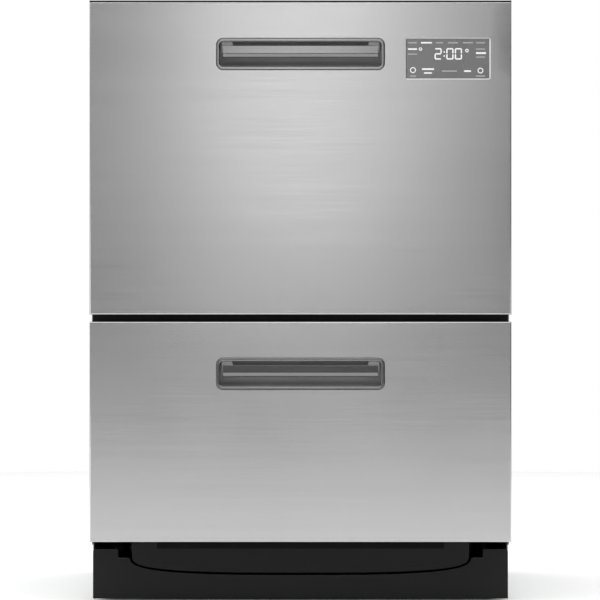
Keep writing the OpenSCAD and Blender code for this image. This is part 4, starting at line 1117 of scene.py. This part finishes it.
# %% Levelling feet
def foot(name):
    low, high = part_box(name)
    radius = (high.x - low.x) / 2
    centre = Vector(((low.x + high.x) / 2, (low.y + high.y) / 2, low.z))
    stem, pitch = 5 * MM, 1.5 * MM
    profile = [(0, 0), (radius - 1.5 * MM, 0), (radius, 1.5 * MM), (radius, 4 * MM),
               (radius - 1.2 * MM, 6 * MM), (radius * 0.55, 10 * MM), (9 * MM, 12 * MM),
               (9 * MM, 17 * MM), (stem, 18.5 * MM)]
    turns = int((high.z - low.z - 20 * MM) / pitch)
    for i in range(turns):
        z = 18.5 * MM + i * pitch
        profile += [(stem - 0.7 * MM, z + pitch * 0.25), (stem, z + pitch * 0.75)]
    profile += [(stem - 1 * MM, high.z - low.z), (0, high.z - low.z)]
    bm = bmesh.new()
    lathe(bm, profile, centre, "z", 32)
    return seat(name + "_sole_and_stem", bm, black_moulding, name, [name])


for name in FEET:
    foot(name)

# %% [markdown]
# ## Water inlet
#
# The inlet valve is white nylon, with a thread of 26.4 mm for the union nut of a supply hose. A lathe
# turns its collar, its thread and its bore in one profile. The square body behind the recess and its
# coil are inside the chassis.

# %% Inlet valve
def inlet_valve():
    low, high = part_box("inlet_valve")
    recess_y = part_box("service_recess")[0].y + 2.5 * MM
    middle = Vector((low.x + 17 * MM, recess_y, (low.z + high.z) / 2))
    thread, pitch, bore = 13.2 * MM, 1.8 * MM, 10.2 * MM
    length = high.y - recess_y
    profile = [(0, -12 * MM), (bore, -12 * MM), (bore, length), (thread - 1 * MM, length)]
    z = length - 0.6 * MM
    while z > 4 * MM:
        profile += [(thread, z - pitch * 0.25), (thread - 0.9 * MM, z - pitch * 0.75)]
        z -= pitch
    profile += [(thread - 0.9 * MM, 1 * MM), (15.4 * MM, 0.9 * MM), (15.7 * MM, 0.4 * MM),
                (15.7 * MM, -3 * MM)]
    bm = bmesh.new()
    lathe(bm, profile, middle, "y", 40)
    soft_block(bm, low, (low.x + 34 * MM, recess_y - 2.5 * MM, high.z), 2.5 * MM)
    lathe(bm, [(0, 0), (11.5 * MM, 0), (12 * MM, 1 * MM), (12 * MM, 25 * MM), (11.5 * MM, 26 * MM),
               (0, 26 * MM)], Vector((high.x - 12 * MM, low.y + 4 * MM, middle.z)), "y", 32)
    return seat("inlet_valve_and_thread", bm, valve_moulding, "chassis", ["inlet_valve"])


inlet_valve()

# %% [markdown]
# ## Beads on the side panels
#
# Thin sheet drums and flaps unless it is stiffened, so a press rolls long beads into it. They stand a
# millimetre proud of the side panels, behind the line of the fronts.

# %% Side beads
def side_beads(hand, side):
    low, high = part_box(hand + "_side_panel")
    face_x = high.x if side > 0 else low.x
    bm = bmesh.new()
    for y in spread(low.y + 95 * MM, high.y - 75 * MM, 120 * MM):
        face = plate_face(bm, (y - 7 * MM, 0, low.z + 150 * MM), (y + 7 * MM, 0, high.z - 90 * MM),
                          6.9 * MM)
        sink_round(bm, face, 1.1 * MM, True, 3, OUT)
    bmesh.ops.rotate(bm, cent=(0, 0, 0), matrix=Matrix.Rotation(side * pi / 2, 3, "Z"), verts=bm.verts)
    if side < 0:
        bmesh.ops.scale(bm, vec=(1, -1, 1), verts=bm.verts)
        bmesh.ops.reverse_faces(bm, faces=bm.faces)
    bmesh.ops.translate(bm, vec=(face_x, 0, 0), verts=bm.verts)
    return seat(hand + "_side_beads", bm, zinc, "chassis")


side_beads("left", -1)
side_beads("right", 1)

# %% [markdown]
# ## Floor, light and camera
#
# The machine stands on a plain pale floor. A long lens far away, level and a little below the middle of
# the fronts, gives the photograph's flat view of the doors.
#
# Steel shows what stands around it. A tall narrow softbox over the lens puts the bright band down the
# middle of the fronts, and the grey of the room gives their edges their tone. A wide softbox overhead
# lights the floor and the top, and a weak one on the left brightens what faces that way. The room is
# white only to the camera, through Light Path, so that the page behind the machine is clean.

# %% Camera
SENSOR = 36.0
FRAME_WIDTH = 600 * PIXEL
EYE = Vector((-0.0007, -5.0168, 0.4308))
lens = bpy.data.cameras.new("long lens")
lens.sensor_width = SENSOR
lens.lens = SENSOR * (upper_low.y - EYE.y) / FRAME_WIDTH
lens.clip_end = 60
camera = bpy.data.objects.new("camera", lens)
camera.location = EYE
camera.rotation_euler = (pi / 2, 0, 0)
bpy.context.scene.collection.objects.link(camera)
bpy.context.scene.camera = camera
print("lens:", round(lens.lens, 1), "mm")

# %% Floor
FLOOR = 3.4


def pale_floor():
    paper = Finish("pale floor", "pale_moulding", {"Specular IOR Level": 0.1})
    mottle = paper.place.noise(0.5, 2.0)
    paper.feed({"Base Color": mottle.mix(grey(0.9), grey(0.93)), "Roughness": mottle * 0.1 + 0.8})
    bm = bmesh.new()
    bmesh.ops.create_circle(bm, cap_ends=True, radius=FLOOR, segments=96)
    mesh = bpy.data.meshes.new("floor")
    bm.to_mesh(mesh)
    bm.free()
    mesh.materials.append(paper.material)
    floor = bpy.data.objects.new("floor", mesh)
    bpy.context.scene.collection.objects.link(floor)


pale_floor()

# %% Lights and room
ROOM = 0.19
PAGE = 1.0


def softbox(name, place, size, power, aim):
    light = bpy.data.lights.new(name, "AREA")
    light.shape = "RECTANGLE"
    light.size, light.size_y = size
    light.energy = power
    lamp = bpy.data.objects.new(name, light)
    lamp.location = place
    lamp.rotation_euler = (Vector(aim) - Vector(place)).to_track_quat("-Z", "Y").to_euler()
    bpy.context.scene.collection.objects.link(lamp)
    print(name, "gives", power, "W")


softbox("strip over the lens", (-0.005, -4.6, 1.4), (0.5, 1.8), 6.2, (-0.005, 0, 1.4))
softbox("overhead", (0, -0.4, 3.4), (9.0, 9.0), 465, (0, -0.4, 0))
softbox("left side", (-3.2, -1.4, 1.0), (1.4, 2.2), 22, (0, -0.3, 0.5))

world = bpy.data.worlds.new("room")
bpy.context.scene.world = world
world.use_nodes = True
room_tree = world.node_tree
seen = Wire(room_tree, room_tree.nodes.new("ShaderNodeLightPath").outputs["Is Camera Ray"])
plug(room_tree, room_tree.nodes["Background"].inputs["Color"], seen.mix(grey(ROOM), grey(PAGE)))
bpy.context.scene.view_settings.view_transform = "Standard"
